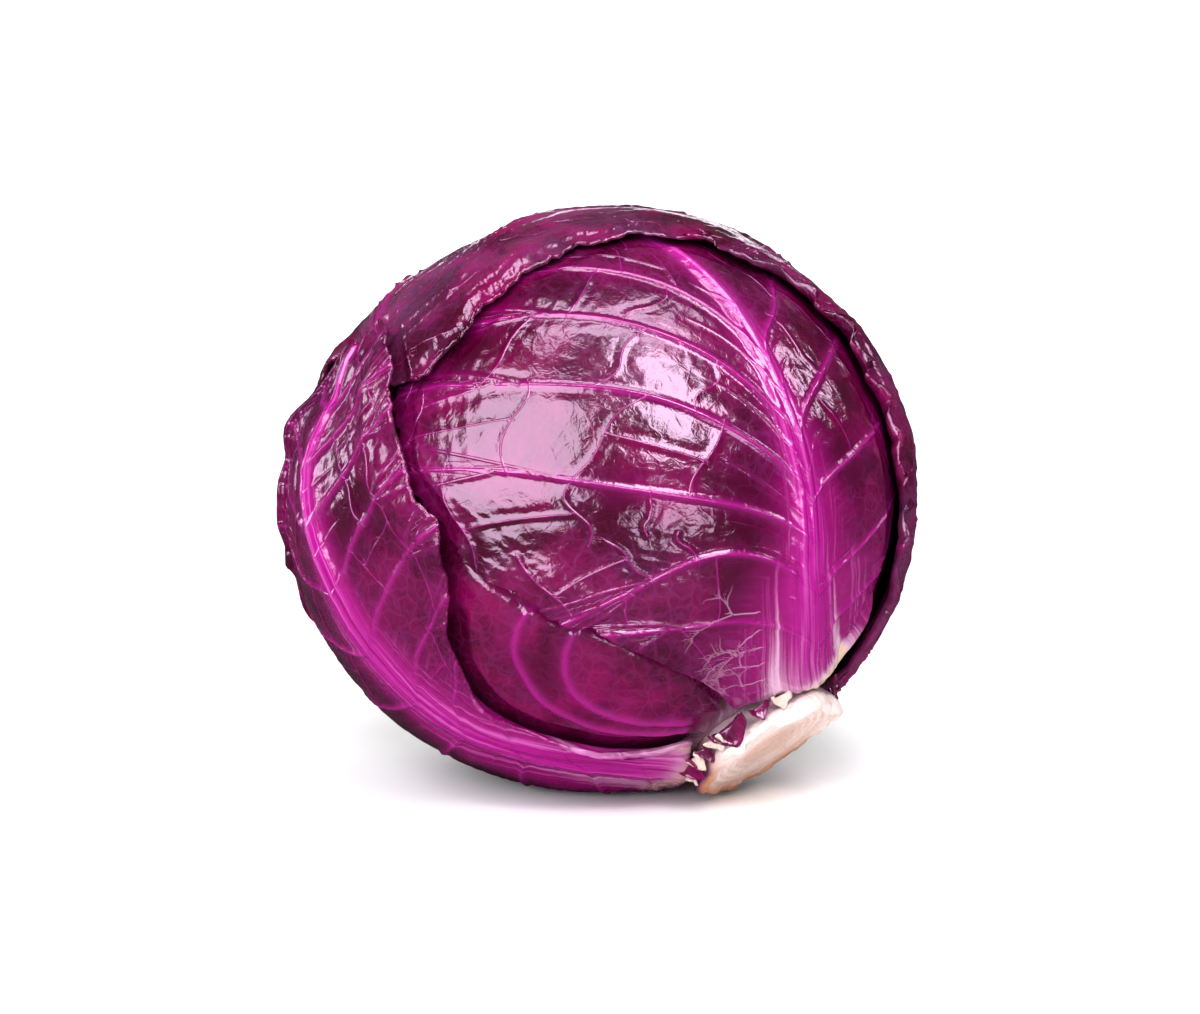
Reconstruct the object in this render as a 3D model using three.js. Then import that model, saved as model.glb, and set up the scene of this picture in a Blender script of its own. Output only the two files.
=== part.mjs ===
// A red cabbage head lying on its side, its cut stem pointing forward, right and down.
// Millimetres, +Z up. The origin is on the resting surface, under the middle of the head.
//
// Places on the head are given as [tilt, turn] in degrees: tilt is the angle away from the
// stem axis, turn is the angle round it, zero at the side that faces up and growing towards
// the left of somebody who looks along +Y.
import * as THREE from 'three';

// The dense head under the wrapper leaves, and the mean radius over them
const HALF_WIDTH = 73.8;
const HALF_DEPTH = 69;
const HALF_HEIGHT = 67.8;
const CENTRE_HEIGHT = 70;
const MEAN_RADIUS = 74;

// The stem axis, in degrees below the horizontal and round from +X towards -Y
const STEM_DIP = 47;
const STEM_SWING = 38.5;

// The cut stem
const STEM_SEAT = 67;
const STEM_GAP = 0.3;
const STEM_RADIUS = 20;
const STEM_FACE = 75.6;
const STEM_SIDES = 40;
const STEM_FLOOR_CLEAR = 0.5;

// How the leaves lie on each other
const LEAF_GAP = 0.8;
const COVER_NEAR = 6;
const COVER_FAR = 20;
const OPEN_NEAR = 0.5;
const OPEN_FAR = 7;
const FLOOR_CLEAR = 2.5;
const LIFT_SHARE_OF_CLEARANCE = 0.6;
const COVERED_HEAD_SLACK = 1.2;
const COVERED_LEAF_SLACK = 0.4;

// Ribs, veins and waves of a wrapper leaf
const RIB_HALF_WIDTH = { base: 8.5, tip: 2 };
const RIB_HEIGHT = { base: 2.4, tip: 0.7 };
const VEIN_HEIGHT = 1.0;
const WAVE_SHARE = 0.42;
const WAVES_PER_STATION = 0.62;
const LIFT_START = 0.68;

// Where the lines of a leaf's mesh run between two stations, and near the rib along a vein
const STATION_STEPS = { few: [0, 0.26, 0.74], many: [0, 0.22, 0.5, 0.78] };
const RIB_STEPS = [0.045, 0.12];

const { degToRad, lerp, smoothstep } = THREE.MathUtils;

const stemAxis = new THREE.Vector3(
  Math.cos(degToRad(STEM_DIP)) * Math.cos(degToRad(STEM_SWING)),
  -Math.cos(degToRad(STEM_DIP)) * Math.sin(degToRad(STEM_SWING)),
  -Math.sin(degToRad(STEM_DIP)),
);
const turnStart = new THREE.Vector3(0, 0, 1).addScaledVector(stemAxis, -stemAxis.z).normalize();
const turnQuarter = new THREE.Vector3().crossVectors(stemAxis, turnStart);

// The unit direction from the middle of the head to a place on it
function direction([tilt, turn]) {
  const away = Math.sin(degToRad(tilt));
  return stemAxis.clone().multiplyScalar(Math.cos(degToRad(tilt)))
    .addScaledVector(turnStart, away * Math.cos(degToRad(turn)))
    .addScaledVector(turnQuarter, away * Math.sin(degToRad(turn)));
}

// The dense head under the wrapper leaves is an ellipsoid with a flat seat for the stem
function denseRadius(way) {
  const round = 1 / Math.hypot(way.x / HALF_WIDTH, way.y / HALF_DEPTH, way.z / HALF_HEIGHT);
  const along = way.dot(stemAxis);
  return along > 0 ? Math.min(round, STEM_SEAT / along) : round;
}

// A curve through places on the head, one place for each station of a leaf
function rail(places) {
  return new THREE.CatmullRomCurve3(places.map(direction), false, 'catmullrom', 0.5);
}

// One leaf: a rib with side veins that sweep forward to the left and right edges. A station
// gives the rib, then for each side the bend of the side vein, its end on the edge and how
// far that edge stands off. Only stations marked with a vein carry a raised one.
class Leaf {
  constructor({ name, colour, thickness, phase, lines, steps, stations }) {
    this.name = name;
    this.colour = colour;
    this.thickness = thickness;
    this.phase = phase;
    this.lines = lines;
    this.steps = steps;
    this.stations = stations;
    this.last = stations.length - 1;
    this.rib = rail(stations.map((station) => station.rib));
    this.sides = ['left', 'right'].map((side) => ({
      bend: rail(stations.map((station) => station[side][0])),
      edge: rail(stations.map((station) => station[side][1])),
      lifts: stations.map((station) => station[side][2]),
      veins: stations.map((station) => station.veins.includes(side[0])),
    }));
    this.ribLine = this.rib.getPoints(this.last * 12).map((point) => point.normalize());
    this.middle = this.ribLine.reduce((sum, way) => sum.add(way), new THREE.Vector3()).normalize();
    this.across = new THREE.Vector3().crossVectors(this.middle, stemAxis).normalize();
    this.along = new THREE.Vector3().crossVectors(this.middle, this.across);
    this.outline = this.outlineWays();
    this.map = this.outline.map((way) => this.flatten(way));
  }

  // side is 1 to the left of the rib and -1 to the right; out is the share of the side vein's
  // length, 0 on the rib and 1 on the edge
  way(station, side, out) {
    const share = station / this.last;
    const { bend, edge } = this.sides[side > 0 ? 0 : 1];
    const vein = new THREE.QuadraticBezierCurve3(
      this.rib.getPoint(share),
      bend.getPoint(share),
      edge.getPoint(share),
    );
    vein.arcLengthDivisions = 16;
    return vein.getPointAt(out).normalize();
  }

  outlineWays() {
    const steps = this.last * 10;
    const ends = 14;
    const ways = [];
    for (let i = 0; i <= steps; i += 1) ways.push(this.way((this.last * i) / steps, 1, 1));
    for (let i = ends - 1; i > 0; i -= 1) ways.push(this.way(this.last, 1, i / ends));
    for (let i = 0; i < ends; i += 1) ways.push(this.way(this.last, -1, i / ends));
    for (let i = steps; i >= 0; i -= 1) ways.push(this.way((this.last * i) / steps, -1, 1));
    for (let i = ends - 1; i > 0; i -= 1) ways.push(this.way(0, -1, i / ends));
    for (let i = 0; i < ends; i += 1) ways.push(this.way(0, 1, i / ends));
    return ways;
  }

  // A flat map of the head about the middle of the leaf, for telling inside from outside
  flatten(way) {
    const angle = Math.acos(THREE.MathUtils.clamp(way.dot(this.middle), -1, 1));
    const x = way.dot(this.across);
    const y = way.dot(this.along);
    const scale = angle / Math.max(Math.hypot(x, y), 1e-9);
    return { x: x * scale, y: y * scale };
  }

  // How far a place is outside the outline, along the head; negative inside
  outside(way) {
    const nearest = Math.max(...this.outline.map((point) => point.dot(way)));
    const reach = Math.acos(Math.min(nearest, 1)) * MEAN_RADIUS;
    const { x, y } = this.flatten(way);
    let inside = false;
    this.map.forEach((from, i) => {
      const to = this.map[(i + 1) % this.map.length];
      const crosses = (from.y > y) !== (to.y > y);
      if (crosses && x < from.x + ((to.x - from.x) * (y - from.y)) / (to.y - from.y)) inside = !inside;
    });
    return inside ? -reach : reach;
  }

  ribRelief(station, way) {
    const share = station / this.last;
    const nearest = Math.max(...this.ribLine.map((point) => point.dot(way)));
    const distance = Math.acos(Math.min(nearest, 1)) * MEAN_RADIUS;
    const halfWidth = lerp(RIB_HALF_WIDTH.base, RIB_HALF_WIDTH.tip, Math.sqrt(share));
    const height = lerp(RIB_HEIGHT.base, RIB_HEIGHT.tip, share);
    return height * (1 - smoothstep(distance, 0.3 * halfWidth, halfWidth));
  }

  veinRelief(station, side, out) {
    const nearest = Math.round(station);
    const raised = this.sides[side > 0 ? 0 : 1].veins[nearest] && Math.abs(station - nearest) < 0.01;
    return raised ? VEIN_HEIGHT * smoothstep(out, 0.01, 0.1) * (1 - 0.6 * out) : 0;
  }

  lift(station, side, out) {
    const { lifts } = this.sides[side > 0 ? 0 : 1];
    const from = Math.floor(station);
    const to = Math.min(from + 1, this.last);
    const most = lerp(lifts[from], lifts[to], station - from);
    const wave = Math.sin(2 * Math.PI * WAVES_PER_STATION * station + this.phase + side);
    return most * (1 + WAVE_SHARE * wave) * smoothstep(out, LIFT_START, 1) ** 1.5;
  }
}

// Shorthand for a station; veins holds l, r, both or neither
function station(rib, left, right, veins = 'lr') {
  return { rib, left, right, veins };
}

// The leaves from the innermost to the outermost
const leaves = [
  new Leaf({
    name: 'wrapper_leaf_under',
    colour: 0x6e1450,
    thickness: 1.3,
    phase: 0.6,
    lines: 'few',
    steps: [5, 5],
    stations: [
      station([17, 188], [[17, 197], [17.5, 206], 0], [[17, 179], [17.5, 170], 0], ''),
      station([28, 182], [[31, 196], [32, 212], 0.5], [[31, 168], [32, 150], 0.5]),
      station([44, 180], [[50, 200], [54, 218], 0.5], [[50, 160], [54, 138], 0.5]),
      station([60, 177], [[69, 198], [74, 220], 0.5], [[68, 155], [74, 128], 0.5]),
      station([76, 173], [[87, 195], [94, 218], 0.5], [[86, 150], [92, 120], 0.5]),
      station([92, 168], [[104, 190], [113, 210], 0.5], [[104, 142], [109, 113], 0.5]),
      station([108, 163], [[121, 183], [130, 200], 0.5], [[119, 136], [125, 110], 0.5]),
      station([124, 158], [[136, 172], [144, 188], 0.5], [[134, 136], [138, 115], 0.5]),
      station([142, 150], [[148, 157], [151, 166], 0.5], [[147, 142], [148, 134], 0.5], ''),
    ],
  }),
  new Leaf({
    name: 'wrapper_leaf_front',
    colour: 0xa01d78,
    thickness: 1.4,
    phase: 0,
    lines: 'many',
    steps: [8, 4],
    stations: [
      station([17, -2], [[17, 25], [17.5, 58], 0], [[17, -14], [17, -27], 0], ''),
      station([21, 8], [[23, 34], [33, 61.5], 2], [[26, -6], [30, -22], 1], ''),
      station([27, 13], [[40, 24], [53, 71], 3], [[34, -2], [43.5, -23], 2]),
      station([38, 15], [[61, 28], [60, 76], 2.5], [[44, 1], [55.5, -23.5], 2]),
      station([43, 15], [[62, 27], [80, 82.5], 2], [[48, -1], [59, -23], 2], ''),
      station([48, 14], [[63, 25], [103, 85], 1], [[53, -3], [62, -22.5], 2], 'l'),
      station([55.5, 12.5], [[78, 17], [117, 80], 0.5], [[63, 0], [69.5, -21.5], 2]),
      station([66, 11], [[98, 18], [126, 70], 0], [[76, 8], [87, -18], 1.5]),
      station([82, 9.5], [[110, 12], [134, 55], 0], [[93, 5], [104, -20], 0.5]),
      station([104, 7], [[124, 14], [139, 40], 0], [[112, 0], [119, -20], 0], ''),
      station([123, 5], [[135, 11], [143, 26], 0], [[129, -1], [134, -15], 0], ''),
      station([138, 2], [[141, 8], [145, 15], 0], [[140, -3], [142, -9], 0], ''),
    ],
  }),
  new Leaf({
    name: 'wrapper_leaf_back',
    colour: 0x7a1659,
    thickness: 1.5,
    phase: 1.9,
    lines: 'few',
    steps: [7, 6],
    stations: [
      station([17, 250], [[17, 270], [17.5, 292], 0], [[17, 231], [17.5, 212], 0], ''),
      station([24, 252], [[27, 282], [28, 318], 2], [[27, 225], [28, 198], 0.5]),
      station([36, 253], [[42, 288], [45, 328], 3], [[42, 222], [46, 191], 0.5]),
      station([48, 253], [[57, 291], [60, 333], 3.5], [[56, 220], [62, 186], 1]),
      station([61, 253], [[73, 294], [76, 336], 3.5], [[70, 218], [78, 182], 1.5]),
      station([75, 253], [[89, 297], [93, 339], 3], [[86, 216], [94, 177], 2]),
      station([91, 253], [[107, 301], [107, 350], 2.5], [[104, 212], [111, 169], 2]),
      station([108, 254], [[126, 305], [118.5, 366], 2.5], [[123, 204], [128, 157], 2]),
      station([126, 256], [[144, 315], [123, 378], 2.5], [[140, 192], [139, 138], 1.5]),
      station([145, 259], [[161, 345], [124.5, 392], 2.5], [[156, 170], [143, 122], 1]),
      station([165, 264], [[158, 385], [122, 407], 2.5], [[164, 130], [145, 110], 0.5]),
      station([173, 440], [[148, 412], [117, 419], 2], [[158, 105], [146, 102], 0]),
      station([157, 441], [[134, 430], [114.5, 430], 1.5], [[150, 96], [144, 96], 0], 'l'),
      station([139, 441], [[127, 439], [119, 438], 0.5], [[137, 85], [136, 88], 0], ''),
    ],
  }),
  new Leaf({
    name: 'wrapper_leaf_side',
    colour: 0x8c1a66,
    thickness: 1.6,
    phase: 3.1,
    lines: 'many',
    steps: [6, 4],
    stations: [
      station([17, 130], [[17, 147], [17.5, 165], 0], [[17, 114], [17.5, 98], 0], ''),
      station([24, 122], [[26, 152], [28, 190], 0], [[27, 115], [31.5, 109], 1.5]),
      station([36, 120], [[38, 160], [41, 209], 0.5], [[41, 115], [46, 110.5], 2]),
      station([48, 120.5], [[54, 160], [60, 201], 1], [[53, 116], [58, 109], 2.5]),
      station([60, 121], [[70, 152], [80, 179], 2], [[66, 114], [68.5, 102], 2.5]),
      station([71, 119.5], [[84, 146], [96, 159], 2.5], [[77, 110], [78, 90.5], 2]),
      station([83, 116.5], [[96, 136], [108, 144], 2.5], [[90, 102], [89, 81.5], 1.5]),
      station([95, 113.5], [[106, 127], [118, 133], 2.5], [[102, 97], [101, 81.5], 1.5]),
      station([107, 111], [[116, 120], [126, 125], 2.5], [[112, 95], [112, 77], 1.5]),
      station([117.5, 108], [[124, 112], [132, 117], 2], [[120, 92], [121, 74], 1.5]),
      station([126, 100], [[130, 103], [136, 104], 1.5], [[127, 86], [130, 73.5], 1.5]),
      station([135, 87], [[138, 88], [140.5, 90], 1], [[137, 81], [138.5, 78], 1], ''),
    ],
  }),
];

// The arching veins of the dense head's outermost leaf, which shows at the lower front
const HEAD_VEINS = [
  [[21, 90], [30, 98.5], [40, 101.5], [50, 99.5], [57.5, 95], [62.5, 90], [65.5, 83], [65.5, 76]],
  [[22.5, 84], [30, 91], [40, 93.5], [48, 91], [53.5, 84.5], [56.5, 77], [57.5, 68]],
];
const HEAD_VEIN_HALF_WIDTH = 4;
const HEAD_VEIN_HEIGHT = 1.3;
const headVeinWays = HEAD_VEINS.flatMap((places) => rail(places).getPoints(60))
  .map((point) => point.normalize());

function headVeinRelief(way) {
  const nearest = Math.max(...headVeinWays.map((point) => point.dot(way)));
  const distance = Math.acos(Math.min(nearest, 1)) * MEAN_RADIUS;
  return HEAD_VEIN_HEIGHT * (1 - smoothstep(distance, 0, HEAD_VEIN_HALF_WIDTH));
}

// What lies in one direction: the radius of the dense head there, lowered where the whole
// stack of leaves would pass through the resting surface, and how far each leaf is
function survey(way) {
  const reach = leaves.map((leaf) => leaf.outside(way));
  const cover = reach.map((distance) => 1 - smoothstep(distance, COVER_NEAR, COVER_FAR));
  const depth = leaves.map((leaf, i) => cover[i] * (leaf.thickness + LEAF_GAP));
  const whole = denseRadius(way) + depth.reduce((sum, part) => sum + part, 0);
  const floor = way.z < -0.2 ? CENTRE_HEIGHT / -way.z : Infinity;
  const clearance = Math.max(floor - whole, 0);
  return { reach, depth, clearance, dense: denseRadius(way) - Math.max(whole - floor, 0) };
}

// 1 where nothing lies over a layer, 0 under another leaf
function freeShare(found, layer) {
  const above = found.reach.slice(layer + 1);
  return above.reduce((share, distance) => share * smoothstep(distance, OPEN_NEAR, OPEN_FAR), 1);
}

// The same, but also 0 where the layer meets the resting surface
function openness(found, layer) {
  return freeShare(found, layer) * smoothstep(found.clearance, 0, FLOOR_CLEAR);
}

function placeAt(way, radius) {
  const point = way.clone().multiplyScalar(radius);
  point.z += CENTRE_HEIGHT;
  if (Math.abs(point.z) < 0.02) point.z = 0;
  return point;
}

function solid(points, triangles) {
  const geometry = new THREE.BufferGeometry();
  geometry.setAttribute('position', new THREE.Float32BufferAttribute(points.flatMap((p) => p.toArray()), 3));
  geometry.setIndex(triangles.flat());
  geometry.computeVertexNormals();
  return geometry;
}

function leafLines(leaf) {
  const stations = [];
  for (let i = 0; i < leaf.last; i += 1) {
    STATION_STEPS[leaf.lines].forEach((step) => stations.push(i + step));
  }
  stations.push(leaf.last);
  const from = RIB_STEPS.at(-1);
  const [left, right] = leaf.steps.map((count) => {
    const even = Array.from({ length: count }, (_, i) => from + ((1 - from) * (i + 1)) / count);
    return [...RIB_STEPS, ...even];
  });
  return { stations, outs: [...right.toReversed().map((step) => -step), 0, ...left] };
}

// A leaf is two like grids, its inner and outer face, joined by a rim
function leafSolid(leaf) {
  const layer = leaves.indexOf(leaf);
  const { stations, outs } = leafLines(leaf);
  const inner = [];
  const outer = [];
  stations.forEach((at) => outs.forEach((out) => {
    const side = out < 0 ? -1 : 1;
    const way = leaf.way(at, side, Math.abs(out));
    const found = survey(way);
    const open = openness(found, layer);
    const under = found.depth.slice(0, layer).reduce((sum, part) => sum + part, 0);
    const most = LIFT_SHARE_OF_CLEARANCE * found.clearance;
    const lift = Math.min(leaf.lift(at, side, Math.abs(out)) * open, most);
    const relief = leaf.ribRelief(at, way) + leaf.veinRelief(at, side, Math.abs(out));
    const covered = COVERED_LEAF_SLACK * (1 - freeShare(found, layer));
    const bottom = found.dense + under + LEAF_GAP + lift;
    inner.push(placeAt(way, bottom));
    outer.push(placeAt(way, bottom + leaf.thickness + Math.min(relief * open, most) - covered));
  }));
  const columns = outs.length;
  const rows = stations.length;
  const top = inner.length;
  const triangles = [];
  for (let row = 0; row < rows - 1; row += 1) {
    for (let column = 0; column < columns - 1; column += 1) {
      const a = row * columns + column;
      const [b, c, d] = [a + 1, a + columns + 1, a + columns];
      triangles.push([a, b, c], [a, c, d], [top + a, top + c, top + b], [top + a, top + d, top + c]);
    }
  }
  const rim = [];
  for (let column = 0; column < columns - 1; column += 1) rim.push(column);
  for (let row = 0; row < rows - 1; row += 1) rim.push(row * columns + columns - 1);
  for (let column = columns - 1; column > 0; column -= 1) rim.push((rows - 1) * columns + column);
  for (let row = rows - 1; row > 0; row -= 1) rim.push(row * columns);
  rim.forEach((from, i) => {
    const to = rim[(i + 1) % rim.length];
    triangles.push([from, top + to, to], [from, top + from, top + to]);
  });
  return solid([...inner, ...outer], triangles);
}

// The dense head, closed at both poles, with closer lines where its own leaf shows
function headSolid() {
  const tilts = [13, 17, 21, 25, 29, 33, 37, 41, 45, 49, 53, 57, 61, 65, 70, 78, 88, 98, 108, 118, 128];
  tilts.push(138, 148, 158, 168);
  const turns = [];
  for (let turn = 60; turn < 110; turn += 4) turns.push(turn);
  for (let turn = 112; turn < 420; turn += 11) turns.push(turn);
  const at = (place) => {
    const way = direction(place);
    const found = survey(way);
    const open = openness(found, -1);
    return placeAt(way, found.dense + headVeinRelief(way) * open - COVERED_HEAD_SLACK * (1 - open));
  };
  const points = [at([0, 0])];
  tilts.forEach((tilt) => turns.forEach((turn) => points.push(at([tilt, turn]))));
  points.push(at([180, 0]));
  const count = turns.length;
  const triangles = [];
  for (let i = 0; i < count; i += 1) {
    const next = (i + 1) % count;
    triangles.push([0, 1 + i, 1 + next]);
    for (let ring = 0; ring < tilts.length - 1; ring += 1) {
      const low = 1 + ring * count;
      const high = low + count;
      triangles.push([low + i, high + i, high + next], [low + i, high + next, low + next]);
    }
    const end = 1 + (tilts.length - 1) * count;
    triangles.push([end + i, points.length - 1, end + next]);
  }
  return solid(points, triangles);
}

// The cut stem: a short butt with a lobed wall, stubs of cut leaf stalks round its rim and
// a slightly uneven cut face
function stemSolid() {
  const rings = [
    { out: 0.85, up: STEM_SEAT + STEM_GAP, lobe: 0.01, stub: 0 },
    { out: 0.93, up: 70.5, lobe: 0.01, stub: 0 },
    { out: 0.98, up: 73, lobe: 0.02, stub: 0.2 },
    { out: 1.0, up: 74.6, lobe: 0.02, stub: 0.7 },
    { out: 0.95, up: STEM_FACE, lobe: 0.04, stub: 1.4 },
    { out: 0.85, up: STEM_FACE, lobe: 0.04, stub: 0.9 },
    { out: 0.76, up: STEM_FACE - 0.4, lobe: 0.02, stub: 0 },
    { out: 0.4, up: STEM_FACE - 0.2, lobe: 0.01, stub: 0 },
  ];
  const lobes = (turn) => Math.sin(5 * turn + 0.7) + 0.6 * Math.sin(8 * turn + 2);
  const stubs = (turn) => Math.max(0, Math.sin(7 * turn + 0.4)) * (1 + Math.cos(turn));
  const at = (turn, out, height) => stemAxis.clone().multiplyScalar(height)
    .addScaledVector(turnStart, out * Math.cos(turn))
    .addScaledVector(turnQuarter, out * Math.sin(turn))
    .add(new THREE.Vector3(0, 0, CENTRE_HEIGHT));
  const points = [at(0, 0, rings[0].up)];
  rings.forEach(({ out, up, lobe, stub }) => {
    for (let i = 0; i < STEM_SIDES; i += 1) {
      const turn = (2 * Math.PI * i) / STEM_SIDES;
      const point = at(turn, STEM_RADIUS * out * (1 + lobe * lobes(turn)), up + stub * stubs(turn));
      point.z = Math.max(point.z, STEM_FLOOR_CLEAR);
      points.push(point);
    }
  });
  points.push(at(0, 0, STEM_FACE - 0.5));
  const triangles = [];
  for (let i = 0; i < STEM_SIDES; i += 1) {
    const next = (i + 1) % STEM_SIDES;
    triangles.push([0, 1 + next, 1 + i]);
    for (let ring = 0; ring < rings.length - 1; ring += 1) {
      const low = 1 + ring * STEM_SIDES;
      const high = low + STEM_SIDES;
      triangles.push([low + i, low + next, high + next], [low + i, high + next, high + i]);
    }
    const end = 1 + (rings.length - 1) * STEM_SIDES;
    triangles.push([end + i, end + next, points.length - 1]);
  }
  return solid(points, triangles);
}

function piece(name, geometry, color, roughness) {
  const mesh = new THREE.Mesh(geometry, new THREE.MeshStandardMaterial({ color, roughness, metalness: 0 }));
  mesh.name = name;
  return mesh;
}

const cabbage = new THREE.Group();
cabbage.add(piece('head', headSolid(), 0x7d1659, 0.35));
leaves.forEach((leaf) => cabbage.add(piece(leaf.name, leafSolid(leaf), leaf.colour, 0.3)));
cabbage.add(piece('stem', stemSolid(), 0xe1c8b0, 0.7));

// The middle of the whole goes over the origin
const size = new THREE.Box3().setFromObject(cabbage);
cabbage.position.set(-(size.min.x + size.max.x) / 2, -(size.min.y + size.max.y) / 2, 0);

export default cabbage;
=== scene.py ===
"""A red cabbage head lying on its side: wrapper leaves, dense head and cut stem, with their finish.

Places on the head are given as (tilt, turn) in degrees: tilt is the angle away from the stem
axis, turn is the angle round it, zero at the side that faces up. Sizes are in millimetres until
a mesh is made.
"""

import logging
import math
from dataclasses import dataclass, field
from enum import Enum

import bpy
import numpy as np
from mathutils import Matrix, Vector


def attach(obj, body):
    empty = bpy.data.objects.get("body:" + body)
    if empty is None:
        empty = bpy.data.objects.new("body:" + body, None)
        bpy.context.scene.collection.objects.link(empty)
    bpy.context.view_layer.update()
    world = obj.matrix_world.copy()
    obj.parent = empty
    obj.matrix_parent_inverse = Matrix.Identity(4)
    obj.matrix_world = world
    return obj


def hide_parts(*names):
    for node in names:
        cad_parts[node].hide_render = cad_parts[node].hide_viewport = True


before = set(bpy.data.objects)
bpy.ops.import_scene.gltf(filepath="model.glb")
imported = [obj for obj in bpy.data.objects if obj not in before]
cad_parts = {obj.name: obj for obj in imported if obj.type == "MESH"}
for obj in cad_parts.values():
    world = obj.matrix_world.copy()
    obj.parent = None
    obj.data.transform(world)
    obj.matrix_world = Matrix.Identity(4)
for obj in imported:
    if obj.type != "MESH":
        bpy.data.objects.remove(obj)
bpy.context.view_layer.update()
LOG = logging.getLogger("cabbage")

MM = 0.001
BODY = "root"

# The head's own axes: its middle over the resting surface, and the way the cut stem points
MIDDLE = np.array([1.25, 0.36, 70.0])
HALF_SIZE = np.array([73.8, 69.0, 67.8])
MEAN_RADIUS = 74.0
STEM_DIP = math.radians(47.0)
STEM_SWING = math.radians(38.5)
STEM_AXIS = np.array(
    [
        math.cos(STEM_DIP) * math.cos(STEM_SWING),
        -math.cos(STEM_DIP) * math.sin(STEM_SWING),
        -math.sin(STEM_DIP),
    ]
)
TURN_START = np.array([0.0, 0.0, 1.0]) - STEM_AXIS[2] * STEM_AXIS
TURN_START /= np.linalg.norm(TURN_START)
TURN_QUARTER = np.cross(STEM_AXIS, TURN_START)

# How the leaves lie on each other, in millimetres
LEAF_GAP = 0.8
COVER_NEAR, COVER_FAR = 2.0, 14.0
OPEN_NEAR, OPEN_FAR = 0.3, 4.0
FLOOR_CLEAR = 2.5

# How near a leaf's outer and inner faces come to the resting surface, in millimetres
LOWEST_OUTER, LOWEST_INNER = 0.03, 0.6

# The edge of a leaf: where on its half the lift starts, the wave of the lift as a share of it,
# how many waves a station has, and the least roll in millimetres that is made
LIFT_START = 0.68
WAVE_SHARE = 0.42
WAVES_PER_STATION = 0.62
LEAST_ROLL = 0.4

# Forks of a side vein: how far each turns aside, in stations, and where on the vein it starts
VEIN_FORKS = ((0.36, 0.66), (-0.3, 0.74), (0.18, 0.86))

# Noise in the relief of a leaf: height and size in millimetres, and a number beside the seed
SWELL = (0.4, 19.0, 4)
WRINKLES = ((0.05, 3.2, 1), (0.015, 1.4, 2))
BLISTER_SIZE = 9.0

# Every so many lines of a shell's outer grid there is one of its inner face
INNER_STEP = 3

# The finest net of veins: its cells in a metre, and the heights of net and grain in millimetres
NET_SCALE = 210.0
NET_HEIGHT = 0.07
GRAIN_HEIGHT = 0.015

# How many directions are measured against all lines at a time
BLOCK = 8000

# The camera
VIEW_RISE = math.radians(11.0)
VIEW_DISTANCE = 1100.0
VIEW_AIM = MIDDLE + np.array([-1.2, 0.0, -1.8])
PIXELS_PER_MM = 4.0125
PICTURE_WIDTH = 1200.0
SENSOR_WIDTH = 36.0


def directions(tilt: np.ndarray, turn: np.ndarray) -> np.ndarray:
    """Gives the unit directions of places on the head.

    Args:
        tilt: Angles away from the stem axis, in degrees.
        turn: Angles round the stem axis, in degrees.

    Returns:
        One unit vector for each place.
    """
    tilt, turn = np.radians(tilt), np.radians(turn)
    away = np.sin(tilt)[..., None]
    round_axis = np.cos(turn)[..., None] * TURN_START + np.sin(turn)[..., None] * TURN_QUARTER
    return np.cos(tilt)[..., None] * STEM_AXIS + away * round_axis


def unit(vectors: np.ndarray) -> np.ndarray:
    """Gives the vectors at length one."""
    return vectors / np.linalg.norm(vectors, axis=-1, keepdims=True)


def smooth(value: np.ndarray, low: float, high: float) -> np.ndarray:
    """Gives a smooth step from 0 at low to 1 at high."""
    share = np.clip((value - low) / (high - low), 0.0, 1.0)
    return share * share * (3.0 - 2.0 * share)


def mix(low: float, high: float, share: np.ndarray) -> np.ndarray:
    """Gives the straight blend from low to high."""
    return low + (high - low) * share


def lattice_noise(places: np.ndarray, seed: int) -> np.ndarray:
    """Gives smooth noise between -1 and 1 on a lattice of unit cells.

    Args:
        places: Points in three dimensions, already divided by the size wanted.
        seed: Changes the pattern.

    Returns:
        One value for each point.
    """
    cell = np.floor(places).astype(np.int64)
    share = places - cell
    share = share * share * (3.0 - 2.0 * share)
    total = np.zeros(len(places))
    for corner in np.ndindex(2, 2, 2):
        x, y, z = (cell + np.array(corner)).T
        mixed = x * 374761393 + y * 668265263 + z * 2147483647 + seed * 1274126177
        mixed = (mixed ^ (mixed >> 13)) * 1103515245
        value = ((mixed ^ (mixed >> 16)) & 0xFFFF) / 32767.5 - 1.0
        weight = np.prod(np.where(np.array(corner) == 1, share, 1.0 - share), axis=1)
        total += value * weight
    return total


def rail(points: np.ndarray, at: np.ndarray) -> np.ndarray:
    """Gives points on an even Catmull-Rom curve.

    Args:
        points: The curve's own points, one for each whole number.
        at: Where on the curve, in stations.

    Returns:
        One point for each value in at.
    """
    last = len(points) - 1
    ends = np.concatenate([[2 * points[0] - points[1]], points, [2 * points[-1] - points[-2]]])
    first = np.clip(np.floor(at).astype(int), 0, last - 1)
    t = (at - first)[:, None]
    a, b, c, d = (ends[first + i] for i in range(4))
    return 0.5 * (
        2 * b + (c - a) * t + (2 * a - 5 * b + 4 * c - d) * t**2 + (3 * b - a - 3 * c + d) * t**3
    )


def dense_radius(ways: np.ndarray) -> np.ndarray:
    """Gives the radius of the dense head in each direction, with its flat seat for the stem."""
    radius = 1.0 / np.linalg.norm(ways / HALF_SIZE, axis=1)
    along = ways @ STEM_AXIS
    seat = np.where(along > 0.2, Stem.seat / np.maximum(along, 0.2), np.inf)
    return np.minimum(radius, seat)


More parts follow.
